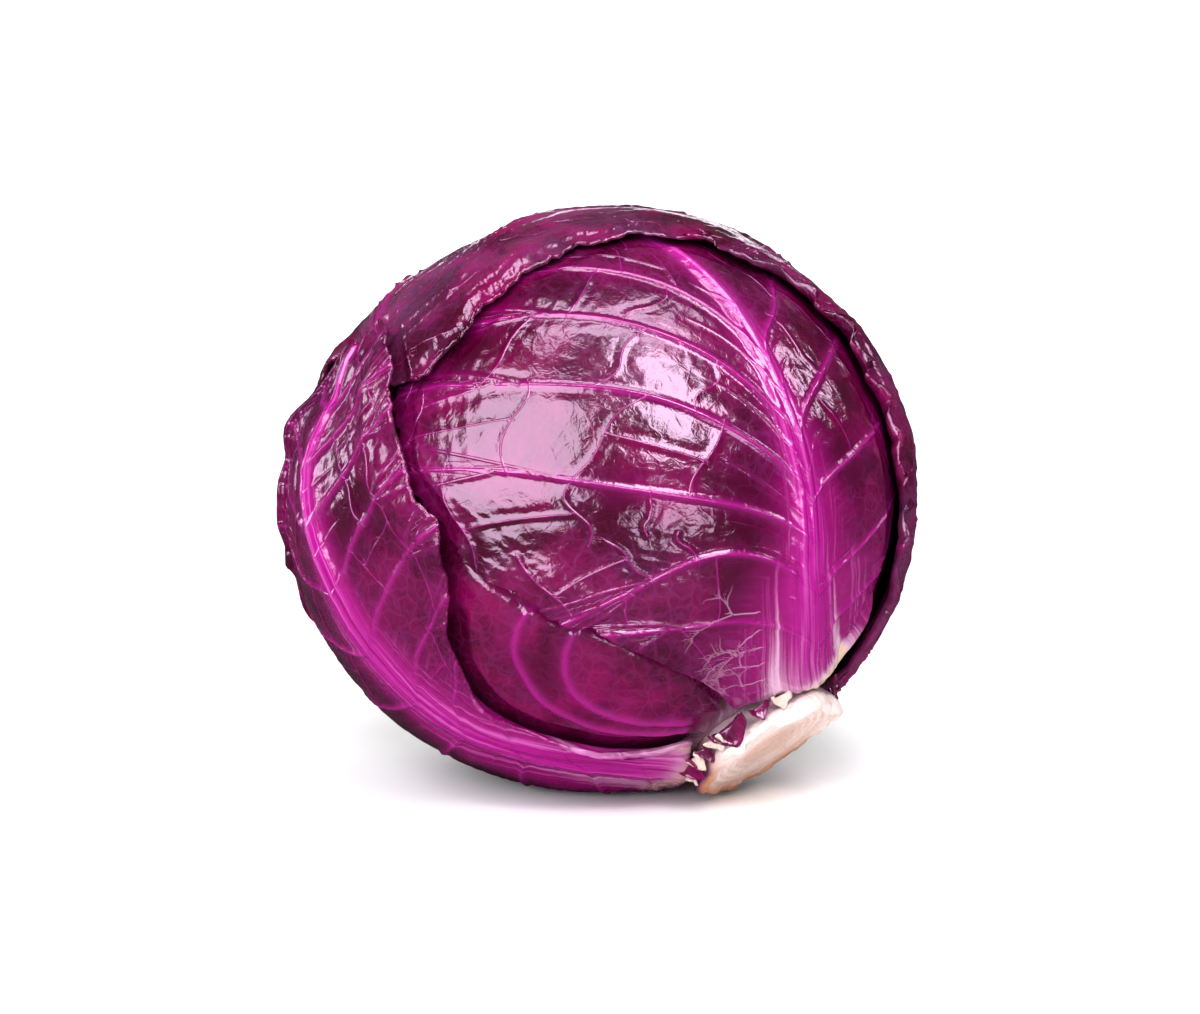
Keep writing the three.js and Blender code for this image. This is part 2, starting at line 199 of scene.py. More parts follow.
@dataclass
class Lines:
    """Many lines on the head, sampled close, for asking which is nearest.

    Each line is its unit directions and a share from 0 at its root to 1 at its end.
    """

    ways: list = field(default_factory=list)
    shares: list = field(default_factory=list)
    sizes: list = field(default_factory=list)

    def add(self, ways: np.ndarray, size: float = 1.0) -> None:
        """Adds one line.

        Args:
            ways: Its unit directions, from root to end.
            size: How strong it is, beside the others.
        """
        self.ways.append(ways)
        self.shares.append(np.linspace(0.0, 1.0, len(ways)))
        self.sizes.append(np.full(len(ways), size))

    def nearest(self, ways: np.ndarray) -> tuple[np.ndarray, np.ndarray, np.ndarray, np.ndarray]:
        """Finds the nearest line to each direction.

        Args:
            ways: Unit directions.

        Returns:
            The distance over the head in millimetres, the share along that line, its size,
            and the distance again with a sign for the side of the line.
        """
        points = np.concatenate(self.ways)
        line = np.concatenate([np.full(len(way), i) for i, way in enumerate(self.ways)])
        shares = np.concatenate(self.shares)
        sizes = np.concatenate(self.sizes)
        nearest = np.empty(len(ways), dtype=int)
        for start in range(0, len(ways), BLOCK):
            block = ways[start:start + BLOCK].astype(np.float32)
            nearest[start:start + BLOCK] = np.argmax(block @ points.T.astype(np.float32), axis=1)
        best = np.linalg.norm(ways - points[nearest], axis=1)
        for step in (-1, 1):
            other = np.clip(nearest + step, 0, len(points) - 1)
            other = np.where(line[other] == line[nearest], other, nearest)
            along = points[other] - points[nearest]
            length = np.maximum((along**2).sum(1), 1e-12)
            share = np.clip(((ways - points[nearest]) * along).sum(1) / length, 0.0, 1.0)
            foot = points[nearest] + along * share[:, None]
            best = np.minimum(best, np.linalg.norm(ways - foot, axis=1))
        ends = [np.clip(nearest + step, 0, len(points) - 1) for step in (-1, 1)]
        ends = [np.where(line[end] == line[nearest], end, nearest) for end in ends]
        along = points[ends[1]] - points[ends[0]]
        side = np.sign((np.cross(along, ways - points[nearest]) * ways).sum(1))
        best = best * MEAN_RADIUS
        return best, shares[nearest], sizes[nearest], best * side


def new_object(name: str, points: np.ndarray, faces: list, values: dict) -> bpy.types.Object:
    """Makes a mesh object whose place is in its mesh.

    Args:
        name: The object's name.
        points: Its points, in millimetres.
        faces: Blocks of faces; each block is an array with one row of point numbers a face.
        values: Named values for every point, single numbers or vectors.

    Returns:
        The new object, linked to the scene.
    """
    mesh = bpy.data.meshes.new(name)
    mesh.vertices.add(len(points))
    mesh.vertices.foreach_set("co", (points * MM).astype(np.float32).ravel())
    corners = np.concatenate([block.ravel() for block in faces])
    counts = np.concatenate([np.full(len(block), block.shape[1]) for block in faces])
    mesh.loops.add(len(corners))
    mesh.loops.foreach_set("vertex_index", corners.astype(np.int32))
    mesh.polygons.add(len(counts))
    starts = np.cumsum(counts) - counts
    mesh.polygons.foreach_set("loop_start", starts.astype(np.int32))
    mesh.update(calc_edges=True)
    mesh.validate()
    for key, value in values.items():
        kind = "FLOAT" if value.ndim == 1 else "FLOAT_VECTOR"
        slot = "value" if value.ndim == 1 else "vector"
        layer = mesh.attributes.new(key, kind, "POINT")
        layer.data.foreach_set(slot, value.astype(np.float32).ravel())
    mesh.shade_smooth()
    made = bpy.data.objects.new(name, mesh)
    bpy.context.scene.collection.objects.link(made)
    return made


class Tree:
    """Short calls that add and link the nodes of one node tree."""

    def __init__(self, tree: bpy.types.NodeTree) -> None:
        """Keeps the tree that the nodes go into."""
        self.tree = tree

    def add(self, kind: str, inputs: dict | None = None, **settings) -> bpy.types.Node:
        """Adds one node.

        Args:
            kind: The node's type name.
            inputs: Values or sockets for its inputs, by name or number.
            settings: The node's own settings.

        Returns:
            The node.
        """
        node = self.tree.nodes.new(kind)
        for key, value in settings.items():
            setattr(node, key, value)
        for key, value in (inputs or {}).items():
            self.feed(node.inputs[key], value)
        return node

    def feed(self, socket: bpy.types.NodeSocket, value: object) -> None:
        """Links a socket to an input, or sets the input to a plain value."""
        if isinstance(value, bpy.types.NodeSocket):
            self.tree.links.new(value, socket)
        else:
            socket.default_value = value

    def math(self, operation: str, *values: object, clamp: bool = False) -> bpy.types.NodeSocket:
        """Adds a Math node and gives its result."""
        node = self.add("ShaderNodeMath", dict(enumerate(values)), operation=operation)
        node.use_clamp = clamp
        return node.outputs[0]

    def times(self, first: object, second: object, clamp: bool = False) -> bpy.types.NodeSocket:
        """Multiplies two values."""
        return self.math("MULTIPLY", first, second, clamp=clamp)

    def inverse(self, value: object) -> bpy.types.NodeSocket:
        """Gives one minus a value."""
        return self.math("SUBTRACT", 1.0, value)

    def ramp(self, value: object, low: float, high: float) -> bpy.types.NodeSocket:
        """Gives a smooth step of a value from 0 at low to 1 at high."""
        inputs = {"Value": value, "From Min": low, "From Max": high}
        return self.add("ShaderNodeMapRange", inputs, interpolation_type="SMOOTHSTEP").outputs[0]

    def blend(self, factor: object, low: object, high: object) -> bpy.types.NodeSocket:
        """Mixes two colours, each a socket, a six-digit code or its linear parts."""
        low, high = (colour(part) if isinstance(part, str) else part for part in (low, high))
        return self.add("ShaderNodeMix", {0: factor, 6: low, 7: high}, data_type="RGBA").outputs[2]

    def vector(self, operation: str, first: object, second: object) -> bpy.types.NodeSocket:
        """Adds a Vector Math node for two vectors and gives its result."""
        node = self.add("ShaderNodeVectorMath", {0: first, 1: second}, operation=operation)
        return node.outputs[0]

    def noise(self, vector: object, scale: float, detail: float,
              rough: float = 0.5) -> bpy.types.NodeSocket:
        """Adds a Noise Texture and gives its value."""
        inputs = {"Vector": vector, "Scale": scale, "Detail": detail, "Roughness": rough}
        return self.add("ShaderNodeTexNoise", inputs).outputs[0]

    def shifts(self, vector: object, scale: float, detail: float) -> bpy.types.NodeSocket:
        """Adds a Noise Texture and gives its three values as a vector."""
        inputs = {"Vector": vector, "Scale": scale, "Detail": detail}
        return self.add("ShaderNodeTexNoise", inputs).outputs[1]

    def borders(self, vector: object, scale: object) -> bpy.types.NodeSocket:
        """Adds a Voronoi Texture and gives the distance to the nearest border of its cells."""
        inputs = {"Vector": vector, "Scale": scale}
        node = self.add("ShaderNodeTexVoronoi", inputs, feature="DISTANCE_TO_EDGE")
        return node.outputs["Distance"]

    def mask(self, key: str, output: str = "Fac") -> bpy.types.NodeSocket:
        """Reads a named value of the mesh in a material."""
        return self.add("ShaderNodeAttribute", attribute_name=key).outputs[output]

    def named(self, key: str, kind: str = "FLOAT") -> bpy.types.NodeSocket:
        """Reads a named value of the mesh in a geometry tree."""
        inputs = {"Name": key}
        return self.add("GeometryNodeInputNamedAttribute", inputs, data_type=kind).outputs[0]

    def finish(self, shader: bpy.types.Node, height: bpy.types.NodeSocket, depth: float) -> None:
        """Gives a shader its fine relief and makes it the material's surface.

        Args:
            shader: The shader's node.
            height: The fine relief.
            depth: How deep a relief of 1 is, in metres.
        """
        bump = self.add("ShaderNodeBump", {"Height": height, "Strength": 0.5, "Distance": depth})
        self.feed(shader.inputs["Normal"], bump.outputs[0])
        self.add("ShaderNodeOutputMaterial", {0: shader.outputs[0]})


class Side(Enum):
    """The two halves of a leaf, seen from its stalk with the tip ahead."""

    LEFT = 1
    RIGHT = -1


@dataclass(frozen=True)
class Half:
    """One half of a leaf at a station.

    The side vein runs from the rib past the bend to the edge. Lift is how far the edge stands
    off, roll is how much of the edge turns outwards, both in millimetres.
    """

    bend: tuple[float, float]
    edge: tuple[float, float]
    lift: float = 0.5
    roll: float = 0.0


@dataclass(frozen=True)
class Station:
    """A rib place with the halves of the leaf beside it and the sides that carry a vein."""

    rib: tuple[float, float]
    left: Half
    right: Half
    veins: str = "lr"


@dataclass
class Found:
    """What lies in many directions: edge distances and depths of the leaves, room and radius."""

    reach: list
    depth: list
    clearance: np.ndarray
    dense: np.ndarray


@dataclass
class Leaf:
    """A wrapper leaf with its rib, side veins, net of cross veins and waved edge.

    Sizes are in millimetres. Pairs are for the root and the end of a rib or vein.
    """

    name: str
    slot: str
    thickness: float
    phase: float
    seed: int
    stations: list
    cell: float = 0.75
    notch: float = 0.03
    rib_half_width: tuple[float, float] = (12.0, 1.2)
    rib_height: tuple[float, float] = (2.4, 0.7)
    strand_spacing: float = 2.6
    vein_width: tuple[float, float] = (1.05, 0.5)
    vein_height: tuple[float, float] = (0.85, 0.34)
    cross_width: float = 0.7
    cross_height: float = 0.42
    cross_spacing: float = 19.0
    blister: float = 0.15
    lace: int = 0
    roll_stretch: float = 2.0
    lobe_length: float = 12.5
    frill: float = 0.5
    folds: float = 0.0

    def __post_init__(self) -> None:
        """Prepares the leaf's rails and the lines of its veins."""
        self.last = len(self.stations) - 1
        self.rib = directions(*np.array([one.rib for one in self.stations], dtype=float).T)
        self.rails = {}
        for side in Side:
            halves = [getattr(one, side.name.lower()) for one in self.stations]
            bend = directions(*np.array([half.bend for half in halves], dtype=float).T)
            edge = directions(*np.array([half.edge for half in halves], dtype=float).T)
            lift = np.array([half.lift for half in halves])
            roll = np.array([half.roll for half in halves])
            self.rails[side] = (bend, edge, lift, roll)
        self.random = np.random.default_rng(self.seed)
        self.rib_line = Lines()
        self.rib_line.add(unit(rail(self.rib, np.linspace(0, self.last, self.last * 16 + 1))))
        self.outline = self.trace_outline()
        self.middle = unit(self.rib_line.ways[0].sum(axis=0))
        self.across = unit(np.cross(self.middle, STEM_AXIS))
        self.along = np.cross(self.middle, self.across)
        self.map = self.flatten(self.outline.ways[0])

    def ways(self, at: np.ndarray, side: Side, out: np.ndarray) -> tuple[np.ndarray, np.ndarray]:
        """Gives directions of places on one half of the leaf.

        Args:
            at: Stations.
            side: The half of the leaf.
            out: Shares of the side vein's length, 0 on the rib and 1 on the edge.

        Returns:
            Unit directions, and the side vein's whole length in millimetres.
        """
        bend, edge, _, _ = self.rails[side]
        ends = [rail(points, at)[:, None] for points in (self.rib, bend, edge)]
        t = np.linspace(0.0, 1.0, 17)[None, :, None]
        samples = (1 - t) ** 2 * ends[0] + 2 * t * (1 - t) * ends[1] + t * t * ends[2]
        steps = np.linalg.norm(np.diff(samples, axis=1), axis=2)
        far = np.concatenate([np.zeros((len(at), 1)), np.cumsum(steps, axis=1)], axis=1)
        target = out * far[:, -1]
        low = np.clip((far <= target[:, None]).sum(axis=1) - 1, 0, 15)
        row = np.arange(len(at))
        part = (target - far[row, low]) / np.maximum(far[row, low + 1] - far[row, low], 1e-12)
        t = ((low + part) / 16.0)[:, None]
        rib, bent, tip = (end[:, 0] for end in ends)
        point = (1 - t) ** 2 * rib + 2 * t * (1 - t) * bent + t * t * tip
        return unit(point), far[:, -1] * MEAN_RADIUS

    def trace_outline(self) -> Lines:
        """Gives the outline of the leaf as one closed line.

        Returns:
            The line, round the whole leaf once.
        """
        along = np.linspace(0.0, self.last, self.last * 12 + 1)
        across = np.linspace(0.0, 1.0, 17)
        full = np.ones_like(across)
        parts = [
            (along, Side.LEFT, np.ones_like(along)),
            (full * self.last, Side.LEFT, across[::-1]),
            (full * self.last, Side.RIGHT, across),
            (along[::-1], Side.RIGHT, np.ones_like(along)),
            (full * 0.0, Side.RIGHT, across[::-1]),
            (full * 0.0, Side.LEFT, across),
        ]
        ways = np.concatenate([self.ways(at, side, out)[0][:-1] for at, side, out in parts])
        outline = Lines()
        outline.add(np.concatenate([ways, ways[:1]]))
        return outline

    def flatten(self, ways: np.ndarray) -> np.ndarray:
        """Maps directions to a plane about the middle of the leaf."""
        angle = np.arccos(np.clip(ways @ self.middle, -1.0, 1.0))
        flat = np.stack([ways @ self.across, ways @ self.along], axis=1)
        return flat * (angle / np.maximum(np.linalg.norm(flat, axis=1), 1e-9))[:, None]

    def outside(self, ways: np.ndarray) -> np.ndarray:
        """Gives how far places are outside the outline, in millimetres; negative inside.

        Args:
            ways: Directions.

        Returns:
            One distance for each direction.
        """
        reach = self.outline.nearest(ways)[0]
        x, y = self.flatten(ways).T
        inside = np.zeros(len(ways), dtype=bool)
        for start, end in zip(self.map[:-1], self.map[1:]):
            if start[1] == end[1]:
                continue
            crosses = (start[1] > y) != (end[1] > y)
            edge = start[0] + (end[0] - start[0]) * (y - start[1]) / (end[1] - start[1])
            inside ^= crosses & (x < edge)
        return np.where(inside, -reach, reach)

    def side_veins(self) -> Lines:
        """Gives the side veins with their forks, and shorter ones between them.

        Returns:
            The lines of all side veins, the forks and short ones at a smaller size.
        """
        lines = Lines()
        for side in Side:
            for number, one in enumerate(self.stations):
                if side.name[0].lower() not in one.veins:
                    continue
                bends = self.random.uniform(-0.05, 0.05, 3)
                out = np.linspace(0.01, 1.0, 60)
                waves = bends[0] * np.sin(5 * out) + bends[1] * np.sin(11 * out + 6 * bends[2])
                lines.add(self.ways(np.clip(number + waves, 0, self.last), side, out)[0])
                for turn, start in VEIN_FORKS:
                    start += self.random.uniform(-0.06, 0.06)
                    out = np.linspace(start, 0.995, 40)
                    share = (out - start) / (1 - start)
                    at = number + waves[int(start * 59)] + turn * share**0.8
                    lines.add(self.ways(np.clip(at, 0, self.last), side, out)[0], 0.5)
                if 0 < number < self.last - 1:
                    end = self.random.uniform(0.2, 0.36)
                    out = np.linspace(0.01, end, 30)
                    at = number + 0.5 + 0.1 * np.sin(7 * out + number)
                    lines.add(self.ways(np.clip(at, 0, self.last), side, out)[0], 0.4)
        return lines

    def cross_veins(self) -> Lines:
        """Gives the thin veins that join the side veins into a coarse net.

        Returns:
            The lines of all cross veins.
        """
        lines = Lines()
        for side in Side:
            for number in range(self.last):
                middle = np.array([number + 0.5])
                length = self.ways(middle, side, np.ones(1))[1][0]
                count = max(int(length / self.cross_spacing), 2)
                rows = []
                for step in range(1, count + 1):
                    out = (step + self.random.uniform(-0.3, 0.3)) / (count + 0.6)
                    kink = number + self.random.uniform(0.35, 0.65)
                    lean = self.random.uniform(0.02, 0.07)
                    ends = self.ways(number + np.array([0.0, 1.0]), side, np.full(2, out))[0]
                    if out < 0.3 or np.linalg.norm(ends[0] - ends[1]) * MEAN_RADIUS < 8.0:
                        continue
                    rows.append((kink, out))
                    places = [(number, out + lean), (kink, out), (number + 1, out - lean)]
                    self.add_path(lines, side, places, 1.0)
                for first, second in zip(rows[:-1], rows[1:]):
                    if self.random.random() < 0.35:
                        self.add_path(lines, side, [first, second], 0.8)
        return lines

    def lace_place(self, flat: np.ndarray) -> np.ndarray:
        """Gives where the white lace by the foot of the rib runs.

        Args:
            flat: Directions.

        Returns:
            For each direction the distance to the lace with a sign for the side, the plain
            distance, and how strong the lace is there.
        """
        if not self.lace:
            return np.zeros((len(flat), 3))
        lines = Lines()
        for number in range(self.lace):
            tilt, turn = 23.0 + 4.0 * number, 36.0 - 0.8 * number
            heading = self.random.uniform(-0.2, 0.5)
            length = self.random.uniform(11.0, 16.0)
            self.lace_branch(lines, (tilt, turn), heading, length, 1.0)
        near, far, size, side = lines.nearest(flat)
        return np.stack([side, near, size * (1.1 - 0.7 * far)], axis=1)

    def lace_branch(self, lines: Lines, start: tuple[float, float], heading: float, length: float,
                    size: float) -> None:
        """Adds one wavy branch of the lace and its own smaller branches.

        Args:
            lines: Where the branches are added.
            start: The place where the branch starts.
            heading: Which way it starts, in radians; 0 runs round the stem.
            length: Its length in degrees.
            size: How strong it is.
        """
        steps = np.linspace(0.0, 1.0, 16)
        bend = heading + self.random.uniform(-0.6, 0.9) * steps + 0.25 * np.sin(7 * steps + length)
        tilt = start[0] + np.cumsum(np.sin(bend)) * length / 16
        turn = start[1] + np.cumsum(np.cos(bend)) * length / 16 / np.sin(np.radians(start[0]))
        lines.add(directions(tilt, turn), size)
        if size > 0.5:
            for at, away in ((6, 0.8), (11, -0.7)):
                place = (tilt[at], turn[at])
                self.lace_branch(lines, place, bend[at] + away, 0.5 * length, 0.7 * size)

    def add_path(self, lines: Lines, side: Side, places: list, size: float) -> None:
        """Adds a slightly bowed line across one half of the leaf.

        Args:
            lines: Where the line is added.
            side: The half of the leaf.
            places: Its places, each a station and a share of the side vein's length.
            size: How strong it is.
        """
        places = np.clip(np.array(places, dtype=float), [0, 0.01], [self.last, 0.99])
        steps = np.linspace(0, len(places) - 1, 24 * (len(places) - 1))
        at = np.interp(steps, np.arange(len(places)), places[:, 0])
        out = np.interp(steps, np.arange(len(places)), places[:, 1])
        bow = self.random.uniform(-0.025, 0.025)
        lines.add(self.ways(at, side, np.clip(out + bow * np.sin(np.pi * steps), 0, 1))[0], size)

    def rows(self) -> np.ndarray:
        """Gives the stations of the mesh's rows, a whole number of threes of them plus one.

        Returns:
            The stations; between two of the leaf's own the rows are evenly spread.
        """
        stations = [np.zeros(1)]
        for number in range(self.last):
            at = np.linspace(number, number + 1, 7)
            longest = 0.0
            for side in Side:
                for out in (0.0, 1.0):
                    line = self.ways(at, side, np.full(7, out))[0]
                    length = np.linalg.norm(np.diff(line, axis=0), axis=1).sum() * MEAN_RADIUS
                    longest = max(longest, length)
            count = INNER_STEP * max(int(np.ceil(longest / self.cell / INNER_STEP)), 1)
            stations.append(number + np.arange(1, count + 1) / count)
        return np.concatenate(stations)

    def columns(self) -> np.ndarray:
        """Gives the shares across the leaf, negative to the right of the rib."""
        counts = {}
        for side in Side:
            at = np.linspace(0, self.last, 40)
            longest = self.ways(at, side, np.ones(40))[1].max()
            counts[side] = INNER_STEP * int(np.ceil(longest / self.cell / INNER_STEP))
        right = -np.arange(counts[Side.RIGHT], 0, -1) / counts[Side.RIGHT]
        left = np.arange(1, counts[Side.LEFT] + 1) / counts[Side.LEFT]
        return np.concatenate([right, [0.0], left])

    def build(self, stack: "Stack") -> bpy.types.Object:
        """Makes the leaf as a thin closed shell.

        Args:
            stack: The head with all its leaves.

        Returns:
            The leaf's object, without its finish.
        """
        layer = stack.leaves.index(self)
        at, outs = self.rows(), self.columns()
        shape = (len(at), len(outs))
        ways, lengths, lift, roll, lobe = self.lay_out(at, outs)
        flat = ways.reshape(-1, 3)
        survey = stack.survey(flat)
        opened = stack.openness(survey, layer)
        most = 0.6 * survey.clearance
        under = sum(survey.depth[:layer], np.zeros(len(flat)))
        edge = (1 - np.abs(outs)[None, :]) * lengths
        fray = lattice_noise(flat * MEAN_RADIUS / 7.0, self.seed + 3).reshape(shape)
        lift = lift * (1 + 0.35 * fray) + 0.7 * fray * smooth(edge, 9.0, 0.0) * (lift > 0.2)
        lift = lift + 0.3 * self.frill * roll * (1 + lobe) * smooth(edge, 8.0, 0.0)
        fray = self.frill * (0.35 * fray + 0.65 * lobe)
        height = np.minimum(np.maximum(lift, 0).ravel() * opened, most)
        thin = self.thickness * (0.35 + 0.65 * smooth(edge, 0.0, 12.0))
        radius = survey.dense + under + LEAF_GAP + thin.ravel() + height
        base = flat * radius[:, None] + MIDDLE
        base = self.roll_edge(base.reshape(shape + (3,)), ways, outs, edge, roll, opened, fray)
        normal = grid_normals(base)
        values = self.details(flat, np.repeat(at, len(outs)), np.tile(outs, len(at)), edge.ravel())
        relief = np.minimum(values.pop("relief") * opened, most).reshape(shape)
        outer = base + normal * relief[..., None]
        outer[..., 2] = np.maximum(outer[..., 2], LOWEST_OUTER)
        inner = (base - normal * thin[..., None])[::INNER_STEP, ::INNER_STEP]
        inner[..., 2] = np.maximum(inner[..., 2], LOWEST_INNER)
        values["fine"] = opened * smooth(survey.clearance, 0.5, 4.0)
        values = {key: with_inner(value, shape, key == "fine") for key, value in values.items()}
        points = np.concatenate([outer.reshape(-1, 3), inner.reshape(-1, 3)])
        return new_object(self.name, points, shell_faces(shape, inner.shape[:2]), values)

    def lay_out(self, at: np.ndarray, outs: np.ndarray) -> tuple[np.ndarray, ...]:
        """Spreads the leaf's grid over the head.

        Args:
            at: The stations of the rows.
            outs: The shares of the columns, negative to the right of the rib.

        Returns:
            For each point its direction, the side vein's whole length there, the lift, the
            roll, and the wave of the frilled edge.
        """
        shape = (len(at), len(outs))
        ways = np.empty(shape + (3,))
        lengths, lift, roll, lobe = (np.empty(shape) for _ in range(4))
        for side in Side:
            pick = (outs >= 0) if side is Side.LEFT else (outs < 0)
            out = np.abs(outs[pick])
            _, _, lifts, rolls = self.rails[side]
            dip = self.notch * (1 - np.abs(np.cos(np.pi * at)) ** 1.5)
            jag = 0.006 * np.sin(23.0 * at + self.phase) + 0.004 * np.sin(51.0 * at)
            share = out[None, :] * (1 - (dip + jag)[:, None] * smooth(out, 0.6, 1.0)[None, :])
            grid = np.repeat(at[:, None], len(out), axis=1)
            found, length = self.ways(grid.ravel(), side, share.ravel())
            ways[:, pick] = found.reshape(len(at), len(out), 3)
            lengths[:, pick] = length.reshape(len(at), len(out))
            wave = np.sin(2 * np.pi * WAVES_PER_STATION * at + self.phase + side.value)
            most = np.interp(at, np.arange(self.last + 1), lifts) * (1 + WAVE_SHARE * wave)
            lift[:, pick] = most[:, None] * smooth(out, LIFT_START, 1.0)[None, :] ** 1.5
            roll[:, pick] = np.interp(at, np.arange(self.last + 1), rolls)[:, None]
            lobe[:, pick] = self.lobes(ways[:, pick][:, -1 if side is Side.LEFT else 0])[:, None]
        return ways, lengths, lift, roll, lobe

    def lobes(self, border: np.ndarray) -> np.ndarray:
        """Gives the uneven wave of a frilled edge, between -1 and 1, for the border's places."""
        steps = np.linalg.norm(np.diff(border, axis=0), axis=1) * MEAN_RADIUS
        along = np.concatenate([[0.0], np.cumsum(steps)])
        line = np.stack([along, along * 0, along * 0], axis=1)
        drift = lattice_noise(line / 17.0, self.seed + 9)
        strength = 0.65 + 0.35 * lattice_noise(line / 11.0, 5)
        return np.sin(2 * np.pi * along / self.lobe_length + 5.0 * drift) * strength

    def roll_edge(self, base: np.ndarray, ways: np.ndarray, outs: np.ndarray, edge: np.ndarray,
                  roll: np.ndarray, opened: np.ndarray, fray: np.ndarray) -> np.ndarray:
        """Turns the edge of the leaf outwards where its roll is above nothing.

        Args:
            base: The leaf's grid of points.
            ways: Their directions.
            outs: The shares of the columns.
            edge: The distance of each point to the edge.
            roll: How much of the edge rolls, at each point.
            opened: 1 where nothing lies over the leaf.
            fray: Noise for the frill.

        Returns:
            The grid with rolled edges.
        """
        rolled = base.copy()
        opened = opened.reshape(edge.shape)
        for column in (0, len(outs) - 1):
            side = -1 if column == 0 else 1
            pick = np.nonzero(outs * side >= 0)[0]
            if column == 0:
                pick = pick[::-1]
            for row in range(len(base)):
                span = roll[row, column] * opened[row, column]
                if span < LEAST_ROLL:
                    continue
                span *= 1 + fray[row, column]
                line, far = base[row, pick], edge[row, pick]
                held = span / self.roll_stretch
                start = np.array([np.interp(-held, -far, line[:, axis]) for axis in range(3)])
                way = ways[row, pick[np.searchsorted(-far, -held) - 1]]
                tangent = unit(line[-1] - start)
                outward = unit(way - tangent * (way @ tangent))
                bend = (1.9 + 0.8 * fray[row, column]) / span
                over = np.maximum(held - far, 0.0) * self.roll_stretch
                turned = (
                    start
                    + tangent * (np.sin(bend * over) / bend)[:, None]
                    + outward * ((1 - np.cos(bend * over)) / bend)[:, None]
                )
                rolled[row, pick] = np.where((over > 0)[:, None], turned, line)
        return rolled

    def details(self, flat: np.ndarray, at: np.ndarray, out: np.ndarray,
                edge: np.ndarray) -> dict[str, np.ndarray]:
        """Works out the relief and the masks of the leaf's ribs, veins and blisters.

        Args:
            flat: Directions.
            at: Stations.
            out: Signed shares across the leaf.
            edge: Distances to the edge.

        Returns:
            The relief in millimetres and the masks, one value for each direction.
        """
        away, share, _, _ = self.rib_line.nearest(flat)
        half = mix(*self.rib_half_width, share)
        ridge = 1 - smooth(away, 0.25 * half, half)
        crest = np.exp(-((away / (0.2 * half)) ** 2))
        strands = np.cos(2 * np.pi * away / self.strand_spacing + 0.4 * np.sign(out)) * ridge
        relief = mix(*self.rib_height, share) * (ridge + 0.28 * crest + 0.07 * strands)
        near, far, size, near_side = self.side_veins().nearest(flat)
        width = mix(*self.vein_width, far) * (0.5 + 0.5 * size)
        vein = np.exp(-((near / width) ** 2)) * size
        relief += mix(*self.vein_height, far) * vein * (1 - 0.7 * ridge)
        gap, _, weight, gap_side = self.cross_veins().nearest(flat)
        cross = np.exp(-((gap / self.cross_width) ** 2)) * weight * (1 - ridge)
        relief += self.cross_height * cross * smooth(near, 0.5, 3.0)
        room = smooth(np.minimum(np.minimum(near, away), 1.5 * gap), 0.4, 5.5)
        places = flat * MEAN_RADIUS
        relief += self.blister * room * (1 + lattice_noise(places / BLISTER_SIZE, self.seed))
        height, length, shift = SWELL
        relief += height * (1 + lattice_noise(places / length, self.seed + shift))
        for height, length, shift in WRINKLES:
            relief += height * room * (1 + lattice_noise(places / length, self.seed + shift))
        fold = np.stack([edge / 3.6, at * 0.7, places[:, 2] / 30.0], axis=1)
        fold = (1 - np.abs(lattice_noise(fold, self.seed + 5))) ** 2
        relief += self.folds * fold * smooth(edge, 2.0, 6.0) * smooth(edge, 60.0, 30.0)
        spread = 1.35 + np.where(
            out > 0,
            1.3 - 1.3 * smooth(share, 0.12, 0.5),
            1.4 - 1.4 * smooth(share, 0.2, 0.7),
        )
        return {
            "relief": relief,
            "rib": ridge,
            "glow": np.exp(-((away / (spread * half)) ** 2)),
            "vein": vein**2 * (1 - ridge),
            "halo": np.exp(-near / 2.2) * size,
            "lace": self.lace_place(flat),
            "vein_place": np.stack([near_side, near, size * (1.3 - 0.6 * far)], axis=1),
            "cross_place": np.stack([gap_side, gap, weight * (1 - ridge)], axis=1),
            "stalk": self.stalk_white(away, share, half, out),
            "grain": np.stack([at, out * 10.0, away * np.sign(out)], axis=1),
        }

    def stalk_white(self, away: np.ndarray, share: np.ndarray, half: np.ndarray,
                    out: np.ndarray) -> np.ndarray:
        """Gives how white the leaf is by its stalk: along the rib's borders and at its foot.

        Args:
            away: Distances to the rib.
            share: Shares of the rib's length, 0 at the stalk.
            half: Half the rib's width.
            out: Signed shares across the leaf.

        Returns:
            One value for each place, from 0 to 1.
        """
        border = np.where(
            out > 0,
            0.5 * np.exp(-(((away - 0.95 * half) / 3.6) ** 2)),
            0.6 * np.exp(-(((away - 0.85 * half) / 1.6) ** 2)),
        )
        stalk = (1 - smooth(share, 0.04, 0.38)) * (border + 0.3 * np.exp(-((away / 15.0) ** 2)))
        foot = np.exp(-((share / 0.045) ** 2)) * np.exp(-((away / 14.0) ** 2))
        return np.minimum(stalk + foot, 1.0)


def grid_normals(grid: np.ndarray) -> np.ndarray:
    """Gives outward unit normals of a grid whose rows run from stalk to tip."""
    return unit(np.cross(np.gradient(grid, axis=0), np.gradient(grid, axis=1)))


def with_inner(value: np.ndarray, shape: tuple, empty: bool) -> np.ndarray:
    """Adds the values of the inner face, from every third line, to those of the outer face."""
    inner = value.reshape(shape + value.shape[1:])[::INNER_STEP, ::INNER_STEP]
    inner = inner.reshape((-1,) + value.shape[1:])
    return np.concatenate([value, inner * 0 if empty else inner])


